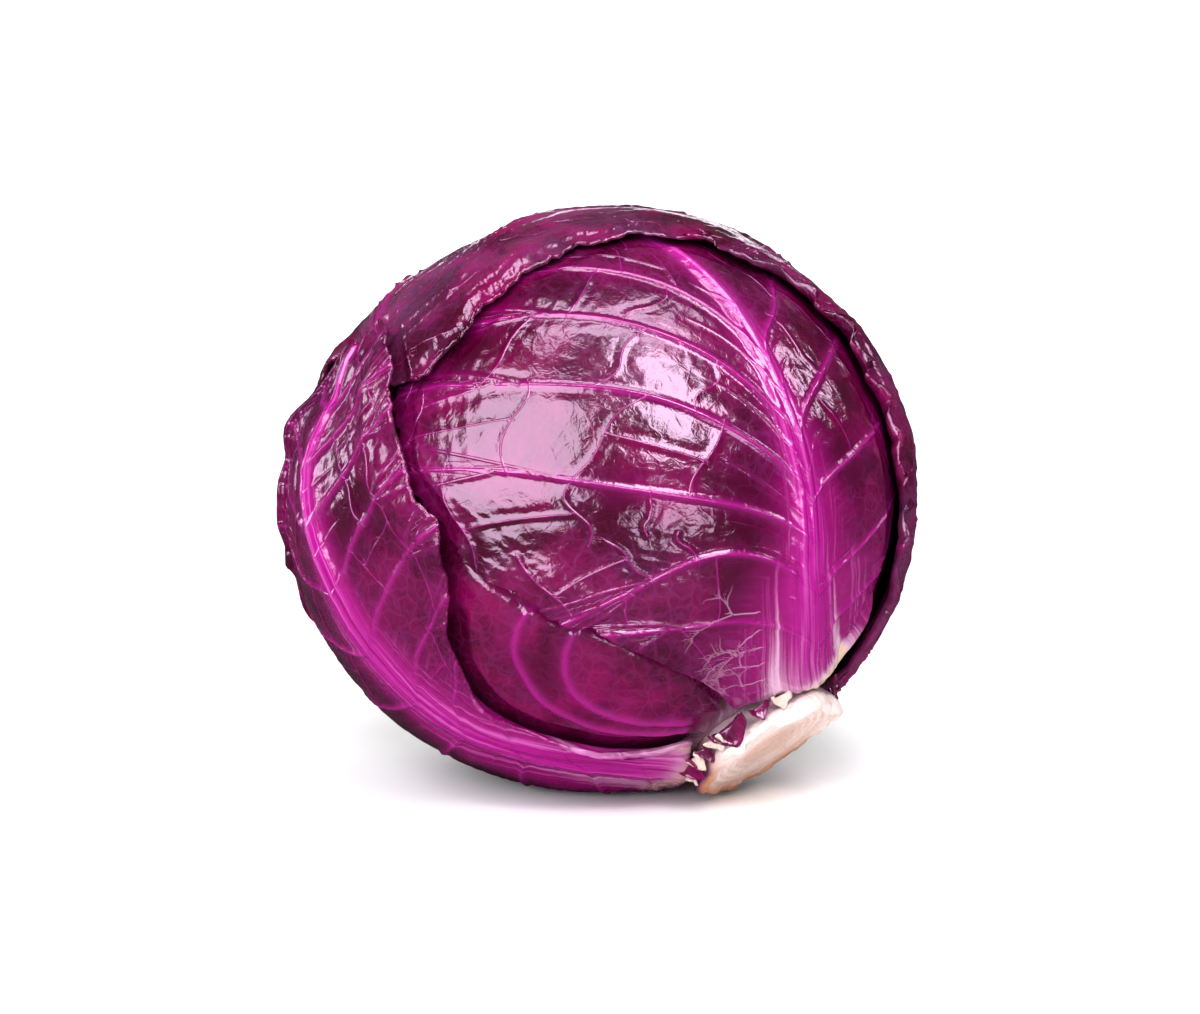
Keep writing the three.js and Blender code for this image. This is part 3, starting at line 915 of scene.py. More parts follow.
def shell_faces(fine: tuple, coarse: tuple) -> list:
    """Gives the faces of a closed shell: a fine outer grid, a coarse inner one and the rim.

    Args:
        fine: Rows and columns of the outer grid.
        coarse: Rows and columns of the inner grid, made of every third line.

    Returns:
        Blocks of quads and triangles.
    """
    outer = np.arange(fine[0] * fine[1]).reshape(fine)
    inner = np.arange(coarse[0] * coarse[1]).reshape(coarse) + outer.size
    quads = [outer[:-1, :-1], outer[1:, :-1], outer[1:, 1:], outer[:-1, 1:]]
    back = [inner[:-1, :-1], inner[:-1, 1:], inner[1:, 1:], inner[1:, :-1]]

    def ring(grid: np.ndarray) -> np.ndarray:
        """Walks once round the border of a grid."""
        sides = (grid[0, :-1], grid[:-1, -1], grid[-1, :0:-1], grid[:0:-1, 0])
        return np.concatenate(sides)

    near, far = ring(inner), ring(outer)
    rim = []
    for number, start in enumerate(near):
        a, b, c = far[3 * number:3 * number + 3]
        d = far[(3 * number + 3) % len(far)]
        end = near[(number + 1) % len(near)]
        rim += [(start, a, b), (start, b, c), (start, c, d), (start, d, end)]
    blocks = [np.stack([corner.ravel() for corner in side], axis=1) for side in (quads, back)]
    return blocks + [np.array(rim)]


def ring_faces(rings: int, count: int, turned: bool = False) -> list:
    """Gives the faces of a body of rings, closed by one point before and one after them.

    Args:
        rings: How many rings there are.
        count: How many points each ring has; the two end points come after all of them.
        turned: Whether the rings run the other way, so that the faces are turned over.

    Returns:
        Blocks of quads and triangles.
    """
    grid = np.arange(rings * count).reshape(rings, count)
    beside = np.roll(grid, -1, axis=1)
    first = np.full(count, grid.size)
    sides = np.stack([grid[:-1], grid[1:], beside[1:], beside[:-1]], axis=2).reshape(-1, 4)
    start = np.stack([first, grid[0], beside[0]], axis=1)
    end = np.stack([grid[-1], first + 1, beside[-1]], axis=1)
    faces = [sides, np.concatenate([start, end])]
    return [np.roll(block[:, ::-1], 1, axis=1) for block in faces] if turned else faces


class Stack:
    """The dense head and the leaves that lie on it, from the innermost to the outermost."""

    def __init__(self, leaves: list) -> None:
        """Keeps the leaves."""
        self.leaves = leaves

    def survey(self, ways: np.ndarray) -> Found:
        """Finds what lies in each direction, with the head lowered over the resting surface.

        Args:
            ways: Unit directions.

        Returns:
            The leaves' edge distances and depths, the room below and the head's radius.
        """
        reach = [leaf.outside(ways) for leaf in self.leaves]
        depth = [
            (1 - smooth(far, COVER_NEAR, COVER_FAR)) * (leaf.thickness + LEAF_GAP)
            for far, leaf in zip(reach, self.leaves)
        ]
        radius = dense_radius(ways)
        whole = radius + sum(depth)
        floor = np.where(ways[:, 2] < -0.2, MIDDLE[2] / np.maximum(-ways[:, 2], 0.2), np.inf)
        clearance = np.minimum(np.maximum(floor - whole, 0.0), 1000.0)
        return Found(reach, depth, clearance, radius - np.maximum(whole - floor, 0.0))

    def openness(self, found: Found, layer: int) -> np.ndarray:
        """Gives 1 where a layer is free, 0 under another leaf and on the resting surface."""
        free = smooth(found.clearance, 0.0, FLOOR_CLEAR)
        for far in found.reach[layer + 1:]:
            free = free * smooth(far, OPEN_NEAR, OPEN_FAR)
        return free


@dataclass
class DenseHead:
    """The closed head of inner leaves, with the veins of the one that shows at the front."""

    name: str = "inner_head"
    slot: str = "inner_leaf"
    covered_slack: float = 1.2
    fine_tilts: tuple[float, float] = (12.0, 74.0)
    fine_turns: tuple[float, float] = (54.0, 120.0)
    cell: float = 0.55
    coarse_cell: float = 4.0
    veins: tuple = (
        (
            (21, 90), (30, 98.5), (40, 101.5), (50, 99.5), (57.5, 95), (62.5, 90), (65.5, 83),
            (65.5, 76),
        ),
        ((22.5, 84), (30, 91), (40, 93.5), (48, 91), (53.5, 84.5), (56.5, 77), (57.5, 68)),
    )

    def build(self, stack: Stack) -> bpy.types.Object:
        """Makes the head as one closed body.

        Args:
            stack: The head with all its leaves.

        Returns:
            The head's object, without its finish.
        """
        low, high = self.fine_tilts
        fine, coarse = np.arange(low, high, self.cell), np.arange(high, 176.0, self.coarse_cell)
        tilts = np.concatenate([[6.0], fine, coarse])
        low, high = self.fine_turns
        coarse = np.arange(high, low + 360.0, self.coarse_cell)
        turns = np.concatenate([np.arange(low, high, self.cell), coarse])
        tilt, turn = (grid.ravel() for grid in np.meshgrid(tilts, turns, indexing="ij"))
        tilt = np.concatenate([tilt, [0.0, 180.0]])
        turn = np.concatenate([turn, [0.0, 0.0]])
        ways = directions(tilt, turn)
        found = stack.survey(ways)
        opened = stack.openness(found, -1)
        lines = Lines()
        for places in self.veins:
            at = np.linspace(0, len(places) - 1, 120)
            lines.add(unit(rail(directions(*np.array(places, dtype=float).T), at)))
        near, share, _, _ = lines.nearest(ways)
        vein = np.exp(-((near / mix(1.2, 0.7, share)) ** 2))
        places = ways * MEAN_RADIUS
        relief = 0.9 * vein + 0.35 * (1 + lattice_noise(places / 8.0, 71))
        relief += 0.13 * (1 + lattice_noise(places / 3.0, 72))
        radius = found.dense + relief * opened - self.covered_slack * (1 - opened)
        points = ways * radius[:, None] + MIDDLE
        values = {
            "rib": np.zeros(len(ways)),
            "glow": np.zeros(len(ways)),
            "lace": np.zeros((len(ways), 3)),
            "vein": vein,
            "halo": np.exp(-near / 3.0),
            "stalk": 0.8 * (1 - smooth(tilt, 12.0, 22.0)),
            "grain": np.stack([near * 0.2, tilt * 0.2, near], axis=1),
            "fine": opened,
        }
        return new_object(self.name, points, ring_faces(len(tilts), len(turns)), values)


@dataclass
class Stem:
    """The short butt of the stem with its cut face."""

    name: str = "cut_stem"
    slot: str = "stem_flesh"
    seat: float = 67.0
    gap: float = 0.3
    radius: float = 20.0
    face: float = 75.6
    floor_clear: float = 0.5
    sides: int = 288
    ring_spacing: float = 2.3

    def build(self) -> bpy.types.Object:
        """Makes the stem as one closed body, without its finish.

        Returns:
            The stem's object.
        """
        wall = [(0.85, self.seat + self.gap), (0.93, 70.5), (0.98, 73.0), (1.0, 74.6)]
        rim = [(0.985, 75.3), (0.955, self.face), (0.9, self.face)]
        knots = np.array(wall + rim)
        at = np.linspace(0, len(knots) - 1, 46)
        profile = [np.interp(at, np.arange(len(knots)), column) for column in knots.T]
        profile = np.stack(profile, axis=1)
        outs = np.concatenate([profile[:, 0], np.linspace(0.89, 0.03, 60)])
        ups = np.concatenate([profile[:, 1], np.full(60, self.face)])
        ring, angle = np.meshgrid(
            np.arange(len(outs)), 2 * np.pi * np.arange(self.sides) / self.sides, indexing="ij"
        )
        ring, angle = ring.ravel(), angle.ravel()
        out, up = outs[ring], ups[ring]
        lobes = np.sin(5 * angle + 0.7) + 0.6 * np.sin(8 * angle + 2)
        away = self.radius * out * (1 + (0.015 + 0.02 * smooth(up, 70.0, 75.0)) * lobes)
        flat = np.stack([away * np.cos(angle), away * np.sin(angle), up], axis=1)
        rough = lattice_noise(flat / 3.0, 81)
        fine = lattice_noise(flat / 0.9, 82)
        cut = smooth(up, 74.6, self.face)
        rings = np.sin(2 * np.pi * away / self.ring_spacing + 1.2 * rough)
        block = np.stack([angle * 5.2, out * 9.0, np.full_like(out, 3.3)], axis=1)
        block = smooth(lattice_noise(block, 83), -0.25, 0.1) * smooth(out, 0.8, 0.88)
        block *= 0.5 + 1.3 * smooth(np.cos(angle), -0.1, 0.7)
        up = up + cut * (block * (1 + 0.3 * rough) - 0.55 * smooth(out, 0.9, 0.8))
        up += cut * (0.2 * rings + 0.16 * rough + 0.08 * fine)
        away = away + (1 - cut) * (0.4 * rough + 0.15 * fine)
        points = (
            up[:, None] * STEM_AXIS
            + (away * np.cos(angle))[:, None] * TURN_START
            + (away * np.sin(angle))[:, None] * TURN_QUARTER
            + MIDDLE
        )
        ends = np.array([STEM_AXIS * (self.seat + self.gap), STEM_AXIS * (self.face - 0.5)])
        points = np.concatenate([points, ends + MIDDLE])
        points[:, 2] = np.maximum(points[:, 2], self.floor_clear)
        skin = smooth(np.cos(angle), 0.2, -0.5) * (1 - 0.75 * cut) * smooth(out, 0.9, 0.99)
        skin = np.maximum(skin, 0.6 * smooth(up, 73.6, 72.4))
        # Each value on the rings, and at the two end points
        values = {
            "skin": (skin, (1.0, 0.0)),
            "away": (away, (0.0, 0.0)),
            "low": (smooth(np.cos(angle), 0.3, -0.6) * smooth(out, 0.72, 0.96), (0.0, 0.0)),
            "high": (smooth(np.cos(angle), -0.5, 0.3) * smooth(out, 0.8, 0.87), (0.0, 0.0)),
        }
        values = {key: np.concatenate(parts) for key, parts in values.items()}
        faces = ring_faces(len(outs), self.sides, turned=True)
        return new_object(self.name, points, faces, values)


@dataclass
class StalkStubs:
    """The torn ends of leaf stalks that stand round the rim of the stem."""

    name: str
    slot: str
    places: tuple
    height: float = 71.2
    wall: float = 0.16

    def build(self, finish: bpy.types.Material) -> bpy.types.Object:
        """Sets one curled flap on each place by a node tree.

        Args:
            finish: The stubs' material.

        Returns:
            The object that holds all stubs.
        """
        turn, away, depth, width, height = np.array(self.places, dtype=float).T
        turn = np.radians(turn)
        round_axis = np.cos(turn)[:, None] * TURN_START + np.sin(turn)[:, None] * TURN_QUARTER
        spots = MIDDLE + STEM_AXIS * self.height + round_axis * away[:, None]
        values = {"turn": turn, "size": np.stack([depth, width / 2, height], axis=1)}
        carrier = new_object(self.name, spots, [np.zeros((0, 3), dtype=int)], values)
        flap = self.build_flap()
        tree = stub_tree(Vector(STEM_AXIS), Vector(TURN_START))
        made = grow(carrier, tree, {"Flap": flap, "Finish": finish})
        bpy.data.objects.remove(flap)
        return made

    def build_flap(self) -> bpy.types.Object:
        """Makes one flap of unit size, curled across X and rising along Z.

        Returns:
            The flap's object.
        """
        up, across = np.meshgrid(np.linspace(0, 1, 22), np.linspace(-1, 1, 31), indexing="ij")
        round_edge = 1.25 * across
        narrow = 1 - 0.25 * up**3
        depth = 1 - np.cos(round_edge) * narrow - 0.35 * up
        rise = up * (0.9 + 0.15 * np.sin(4 * across + 1)) * (1 - 0.35 * across**2) - 0.25
        outer = np.stack([depth, np.sin(round_edge) * narrow, rise], axis=2)
        normal = grid_normals(outer)
        inner = outer - normal * self.wall * (1 - 0.5 * up[..., None])
        inner = inner[::INNER_STEP, ::INNER_STEP]
        points = np.concatenate([outer.reshape(-1, 3), inner.reshape(-1, 3)])
        faces = shell_faces(outer.shape[:2], inner.shape[:2])
        return new_object(self.name + "_flap", points, faces, {})


def new_group(name: str, kind: str, inputs: dict, outputs: dict) -> bpy.types.NodeTree:
    """Makes an empty node group.

    Args:
        name: The group's name.
        kind: The group's type name.
        inputs: Socket types by name.
        outputs: Socket types by name.

    Returns:
        The group.
    """
    group = bpy.data.node_groups.new(name, kind)
    for key, socket in inputs.items():
        group.interface.new_socket(key, in_out="INPUT", socket_type=socket)
    for key, socket in outputs.items():
        group.interface.new_socket(key, in_out="OUTPUT", socket_type=socket)
    return group


def grow(carrier: bpy.types.Object, tree: bpy.types.NodeTree, values: dict) -> bpy.types.Object:
    """Runs a geometry tree on an object and keeps the result as a plain mesh.

    Args:
        carrier: The object that the tree starts from; it is removed.
        tree: The geometry tree.
        values: The tree's inputs by name.

    Returns:
        The finished object, under the carrier's name.
    """
    name = carrier.name
    modifier = carrier.modifiers.new(tree.name, "NODES")
    modifier.node_group = tree
    for item in tree.interface.items_tree:
        if item.in_out == "INPUT" and item.name in values:
            modifier[item.identifier] = values[item.name]
    depsgraph = bpy.context.evaluated_depsgraph_get()
    depsgraph.update()
    mesh = bpy.data.meshes.new_from_object(carrier.evaluated_get(depsgraph))
    bpy.data.objects.remove(carrier)
    mesh.name = name
    made = bpy.data.objects.new(name, mesh)
    bpy.context.scene.collection.objects.link(made)
    return made


def skin_tree() -> bpy.types.NodeTree:
    """Makes the tree that raises the finest net of veins out of a leaf's outer face.

    Returns:
        The tree.
    """
    inputs = {
        "Geometry": "NodeSocketGeometry",
        "Net Scale": "NodeSocketFloat",
        "Net Height": "NodeSocketFloat",
        "Grain Height": "NodeSocketFloat",
        "Seed": "NodeSocketFloat",
        "Finish": "NodeSocketMaterial",
    }
    group = new_group("leaf_skin", "GeometryNodeTree", inputs, {"Geometry": "NodeSocketGeometry"})
    tree = Tree(group)
    given = tree.add("NodeGroupInput").outputs
    place = tree.add("GeometryNodeInputPosition").outputs[0]
    shift = tree.add("ShaderNodeCombineXYZ", {0: given["Seed"], 1: given["Seed"]}).outputs[0]
    place = tree.vector("ADD", place, shift)
    line = tree.inverse(tree.ramp(tree.borders(place, given["Net Scale"]), 0.02, 0.22))
    grain = tree.noise(place, 900.0, 2.0)
    height = tree.times(line, given["Net Height"])
    height = tree.math("MULTIPLY_ADD", grain, given["Grain Height"], height)
    height = tree.times(height, tree.named("fine"))
    normal = tree.add("GeometryNodeInputNormal").outputs[0]
    offset = tree.add("ShaderNodeVectorMath", {0: normal}, operation="SCALE")
    tree.feed(offset.inputs["Scale"], height)
    moved = tree.add("GeometryNodeSetPosition", {"Geometry": given["Geometry"]})
    tree.feed(moved.inputs["Offset"], offset.outputs[0])
    whole = tree.add("GeometryNodeRealizeInstances", {0: moved.outputs[0]})
    finish = tree.add("GeometryNodeSetMaterial", {"Geometry": whole.outputs[0]})
    tree.feed(finish.inputs["Material"], given["Finish"])
    tree.add("NodeGroupOutput", {0: finish.outputs[0]})
    return group


def stub_tree(axis: Vector, start: Vector) -> bpy.types.NodeTree:
    """Makes the tree that sets a crumpled flap on every point, turned about the stem axis.

    Args:
        axis: The stem axis.
        start: The direction that turn zero points to.

    Returns:
        The tree.
    """
    inputs = {
        "Geometry": "NodeSocketGeometry",
        "Flap": "NodeSocketObject",
        "Finish": "NodeSocketMaterial",
    }
    group = new_group("stalk_stubs", "GeometryNodeTree", inputs, {"Geometry": "NodeSocketGeometry"})
    tree = Tree(group)
    given, flap, finish = tree.add("NodeGroupInput").outputs[:3]
    flap = tree.add("GeometryNodeObjectInfo", {"Object": flap}).outputs["Geometry"]
    upright = tree.add("FunctionNodeAlignRotationToVector", {"Vector": axis}, axis="Z").outputs[0]
    ahead = tree.add("FunctionNodeAlignRotationToVector", {"Rotation": upright, "Vector": start})
    ahead.axis, ahead.pivot_axis = "X", "Z"
    spin = {"Axis": (0, 0, 1), "Angle": tree.named("turn")}
    spin = tree.add("FunctionNodeAxisAngleToRotation", spin).outputs[0]
    pose = tree.add("FunctionNodeRotateRotation", {0: ahead.outputs[0], 1: spin})
    pose.rotation_space = "LOCAL"
    stubs = tree.add("GeometryNodeInstanceOnPoints", {"Points": given, "Instance": flap})
    tree.feed(stubs.inputs["Rotation"], pose.outputs[0])
    tree.feed(stubs.inputs["Scale"], tree.named("size", "FLOAT_VECTOR"))
    whole = tree.add("GeometryNodeRealizeInstances", {0: stubs.outputs[0]}).outputs[0]
    place = tree.add("GeometryNodeInputPosition").outputs[0]
    lumps = tree.vector("SUBTRACT", tree.shifts(place, 260.0, 2.0), (0.5,) * 3)
    lumps = tree.vector("MULTIPLY", lumps, (2.0 * MM,) * 3)
    moved = tree.add("GeometryNodeSetPosition", {"Geometry": whole, "Offset": lumps})
    rounded = tree.add("GeometryNodeSetShadeSmooth", {0: moved.outputs[0]})
    dressed = {"Geometry": rounded.outputs[0], "Material": finish}
    dressed = tree.add("GeometryNodeSetMaterial", dressed)
    tree.add("NodeGroupOutput", {0: dressed.outputs[0]})
    return group


def colour(code: str) -> tuple[float, float, float, float]:
    """Gives a colour's linear parts from its six-digit code."""

    def linear(part: float) -> float:
        """Gives the linear value of one part."""
        return part / 12.92 if part <= 0.04045 else ((part + 0.055) / 1.055) ** 2.4

    return (*(linear(int(code[i:i + 2], 16) / 255) for i in (1, 3, 5)), 1.0)


def new_material(name: str) -> tuple[bpy.types.Material, Tree]:
    """Makes a material without nodes, and gives it with its tree."""
    material = bpy.data.materials.new(name)
    material.use_nodes = True
    material.node_tree.nodes.clear()
    return material, Tree(material.node_tree)


def pattern_group() -> bpy.types.NodeTree:
    """Makes the masks that all finishes share: net, streaks, mottling and bloom.

    Returns:
        The group of nodes.
    """
    inputs = {
        "Place": "NodeSocketVector",
        "Grain": "NodeSocketVector",
        "Rib": "NodeSocketFloat",
        "Net Scale": "NodeSocketFloat",
    }
    outputs = {key: "NodeSocketFloat" for key in ("Net", "Streaks", "Mottle", "Bloom")}
    group = new_group("leaf_pattern", "ShaderNodeTree", inputs, outputs)
    tree = Tree(group)
    given = tree.add("NodeGroupInput").outputs
    place = given["Place"]
    bent = tree.vector("MULTIPLY", tree.shifts(place, 260.0, 1.0), (0.004,) * 3)
    bent = tree.vector("ADD", place, bent)
    net = tree.inverse(tree.ramp(tree.borders(bent, given["Net Scale"]), 0.01, 0.13))
    small = tree.borders(bent, tree.times(given["Net Scale"], 2.6))
    small = tree.inverse(tree.ramp(small, 0.02, 0.2))
    along = tree.noise(tree.vector("MULTIPLY", given["Grain"], (0.2, 0.0, 0.9)), 1.0, 2.0, 0.6)
    aside = tree.noise(tree.vector("MULTIPLY", given["Grain"], (5.0, 0.0, 0.02)), 1.0, 3.0, 0.7)
    apart = tree.math("SUBTRACT", aside, along)
    found = {
        "Net": tree.math("MAXIMUM", net, tree.times(small, 0.45)),
        "Streaks": tree.math("MULTIPLY_ADD", apart, tree.inverse(given["Rib"]), along),
        "Mottle": tree.noise(place, 55.0, 4.0, 0.6),
        "Bloom": tree.noise(place, 26.0, 3.0, 0.55),
    }
    tree.add("NodeGroupOutput", found)
    return group


@dataclass(frozen=True)
class LeafFinish:
    """The finish of a leaf: glossy purple skin with paler ribs, veins and net."""

    name: str
    deep: str = "#300012"
    middle: str = "#56002e"
    vein: str = "#951574"
    rib: str = "#970f76"
    glow: str = "#8a0862"
    streak: str = "#b74e9d"
    streak_share: float = 0.5
    pale: str = "#d0a8c0"
    foot: str = "#d9c0a4"
    net: str = "#862c72"
    net_share: float = 0.16
    bloom: str = "#56184a"
    bloom_share: float = 0.08
    stalk_share: float = 0.4
    furrow: str = "#4e0526"
    lace_share: float = 0.0
    roughness: float = 0.165
    shine_tint: tuple[float, float, float, float] = (1.0, 0.78, 0.96, 1.0)
    vein_half: float = 0.5
    cross_half: float = 0.32
    lace_half: float = 0.3
    depth: float = 0.0003

    def build(self, pattern: bpy.types.NodeTree) -> bpy.types.Material:
        """Makes the material.

        Args:
            pattern: The shared group of leaf masks.

        Returns:
            The material.
        """
        material, tree = new_material(self.name)
        place = tree.add("ShaderNodeTexCoord").outputs["Object"]
        mask = {key: tree.mask(key) for key in ("rib", "glow", "vein", "halo", "stalk")}
        along = tree.times(mask["stalk"], 2.5, clamp=True)
        along = tree.math("MAXIMUM", mask["rib"], along)
        along = tree.math("MAXIMUM", along, tree.ramp(mask["glow"], 0.3, 0.6))
        given = {"Place": place, "Grain": tree.mask("grain", "Vector"), "Rib": along}
        given["Net Scale"] = NET_SCALE
        shared = tree.add("ShaderNodeGroup", given, node_tree=pattern)
        shared = dict(shared.outputs.items())
        veins = self.fine_line(tree, "vein_place", self.vein_half)
        cross = self.fine_line(tree, "cross_place", self.cross_half)
        skin = self.colour_skin(tree, mask, shared, cross)
        skin = self.colour_ribs(tree, mask, shared, along, skin)
        shader = tree.add("ShaderNodeBsdfPrincipled", {"Base Color": skin})
        rough = tree.math("MULTIPLY_ADD", shared["Bloom"], 0.12, self.roughness - 0.06)
        tree.feed(shader.inputs["Roughness"], rough)
        tree.feed(shader.inputs["Specular IOR Level"], 1.0)
        tree.feed(shader.inputs["Specular Tint"], self.shine_tint)
        height = tree.times(tree.noise(place, 520.0, 4.0, 0.55), 0.6)
        height = tree.math("MULTIPLY_ADD", shared["Net"], 0.15, height)
        height = tree.math("MULTIPLY_ADD", veins, 1.3, height)
        height = tree.math("MULTIPLY_ADD", cross, 0.8, height)
        tree.finish(shader, height, self.depth)
        return material

    def colour_skin(self, tree: Tree, mask: dict, shared: dict,
                    cross: bpy.types.NodeSocket) -> bpy.types.NodeSocket:
        """Colours the skin between the ribs, with its net, cross veins and lace.

        Args:
            tree: The material's nodes.
            mask: The leaf's own masks by name.
            shared: The masks that all finishes share.
            cross: The crests of the cross veins.

        Returns:
            The colour.
        """
        mottle = tree.ramp(shared["Mottle"], 0.4, 0.66)
        glow = tree.math("MAXIMUM", mask["glow"], tree.times(mask["halo"], 0.35))
        bloom = tree.times(tree.ramp(shared["Bloom"], 0.42, 0.68), self.bloom_share)
        net = tree.times(shared["Net"], tree.ramp(shared["Bloom"], 0.3, 0.6))
        lace = self.fine_line(tree, "lace", self.lace_half)
        skin = tree.blend(mottle, self.deep, self.middle)
        skin = tree.blend(glow, skin, self.glow)
        skin = tree.blend(bloom, skin, self.bloom)
        skin = tree.blend(tree.times(net, self.net_share), skin, self.net)
        skin = tree.blend(tree.times(cross, 0.5), skin, self.vein)
        return tree.blend(tree.times(lace, self.lace_share), skin, self.pale)

    def colour_ribs(self, tree: Tree, mask: dict, shared: dict, along: bpy.types.NodeSocket,
                    skin: bpy.types.NodeSocket) -> bpy.types.NodeSocket:
        """Colours the side veins, the rib with its streaks and the pale stalk.

        Args:
            tree: The material's nodes.
            mask: The leaf's own masks by name.
            shared: The masks that all finishes share.
            along: 1 where the streaks run along the rib.
            skin: The colour of the skin below.

        Returns:
            The colour.
        """
        streaks = tree.ramp(shared["Streaks"], 0.5, 0.66)
        bright = tree.times(tree.times(streaks, mask["glow"]), self.streak_share)
        bright = tree.times(bright, tree.math("MULTIPLY_ADD", along, 0.75, 0.25))
        dark = tree.times(tree.ramp(shared["Streaks"], 0.46, 0.36), mask["rib"])
        pale = tree.math("SUBTRACT", mask["stalk"], 0.6)
        pale = tree.ramp(tree.math("MULTIPLY_ADD", shared["Streaks"], 0.9, pale), 0.0, 0.62)
        foot = tree.blend(tree.ramp(mask["stalk"], 0.65, 1.0), self.pale, self.foot)
        skin = tree.blend(tree.times(mask["vein"], 0.65), skin, self.vein)
        skin = tree.blend(tree.times(mask["rib"], 0.85), skin, self.rib)
        skin = tree.blend(bright, skin, self.streak)
        skin = tree.blend(tree.times(dark, 0.6), skin, self.furrow)
        return tree.blend(tree.times(pale, self.stalk_share), skin, foot)

    def fine_line(self, tree: Tree, key: str, half: float) -> bpy.types.NodeSocket:
        """Draws the crisp crest of the veins from their stored distances.

        Args:
            tree: The material's nodes.
            key: The name of the stored distances: with side, without side, strength.
            half: Half the width of the crest, in millimetres.

        Returns:
            1 on the crest, 0 away from it.
        """
        stored = {0: tree.mask(key, "Vector")}
        side, near, strength = tree.add("ShaderNodeSeparateXYZ", stored).outputs
        crest = tree.ramp(tree.math("ABSOLUTE", side), half, 0.2 * half)
        close = tree.ramp(near, 2.4 * half + 0.6, 2.4 * half + 0.3)
        return tree.times(tree.times(crest, close), strength)


@dataclass(frozen=True)
class FleshFinish:
    """The finish of the cut stem: cream flesh with rings, a brown lower rim and thin skin."""

    name: str
    flesh: str = "#e4d3cb"
    middle: str = "#cbab9b"
    brown: str = "#bd8156"
    white: str = "#dfd3ca"
    skin: str = "#6d2a55"
    depth: float = 0.0006

    def build(self, pattern: bpy.types.NodeTree) -> bpy.types.Material:
        """Makes the material.

        Args:
            pattern: The shared group of masks, for the mottling.

        Returns:
            The material.
        """
        material, tree = new_material(self.name)
        place = tree.add("ShaderNodeTexCoord").outputs["Object"]
        blotch = tree.noise(place, 160.0, 4.0, 0.65)
        fibre = tree.noise(place, 900.0, 4.0, 0.7)
        mask = {key: tree.mask(key) for key in ("skin", "away", "low", "high")}
        wave = tree.math("MULTIPLY_ADD", blotch, 4.0, tree.times(mask["away"], 2.7))
        ring = tree.ramp(tree.math("SINE", wave), -0.2, 1.0)
        shared = tree.add("ShaderNodeGroup", {"Place": place}, node_tree=pattern).outputs
        stain = tree.times(tree.ramp(shared["Mottle"], 0.45, 0.7), 0.35)
        speck = tree.times(tree.ramp(fibre, 0.52, 0.7), 0.5)
        crack = tree.times(tree.inverse(tree.ramp(tree.borders(place, 190.0), 0.0, 0.08)), 0.3)
        skin = tree.blend(tree.ramp(mask["away"], 5.0, 12.0), self.middle, self.flesh)
        skin = tree.blend(tree.times(ring, 0.5), skin, self.middle)
        skin = tree.blend(stain, skin, self.middle)
        skin = tree.blend(speck, skin, self.brown)
        skin = tree.blend(mask["high"], skin, tree.blend(crack, self.white, self.brown))
        skin = tree.blend(mask["low"], skin, self.brown)
        skin = tree.blend(mask["skin"], skin, self.skin)
        shader = tree.add("ShaderNodeBsdfPrincipled", {"Base Color": skin, "Roughness": 0.6})
        tree.feed(shader.inputs["Specular IOR Level"], 0.35)
        height = tree.math("ADD", fibre, tree.times(blotch, 1.5))
        tree.finish(shader, height, self.depth)
        return material


def hang_lamp(name: str, size: tuple[float, float], power: float) -> bpy.types.Object:
    """Makes a flat soft lamp that the camera doesn't see.

    Args:
        name: The lamp's name.
        size: Its width and height, in millimetres.
        power: Its power.

    Returns:
        The lamp, still to be placed.
    """
    data = bpy.data.lights.new(name, "AREA")
    data.shape = "RECTANGLE"
    data.size, data.size_y = (side * MM for side in size)
    data.energy = power
    lamp = bpy.data.objects.new(name, data)
    lamp.visible_camera = False
    bpy.context.scene.collection.objects.link(lamp)
    return lamp


@dataclass(frozen=True)
class Softbox:
    """A large soft lamp that looks at the head.

    Azimuth is 0 in front of the head and grows to the right, in degrees.
    """

    name: str
    azimuth: float
    elevation: float
    distance: float
    size: tuple[float, float]
    power: float
    tint: tuple[float, float, float] = (0.97, 0.88, 1.0)

    def build(self) -> None:
        """Sets up the lamp."""
        lamp = hang_lamp(self.name, self.size, self.power)
        lamp.data.color = self.tint
        around, rise = math.radians(self.azimuth), math.radians(self.elevation)
        flat = math.cos(rise)
        way = Vector((math.sin(around) * flat, -math.cos(around) * flat, math.sin(rise)))
        lamp.location = Vector(MIDDLE * MM) + way * self.distance * MM
        lamp.rotation_euler = way.to_track_quat("Z", "Y").to_euler()


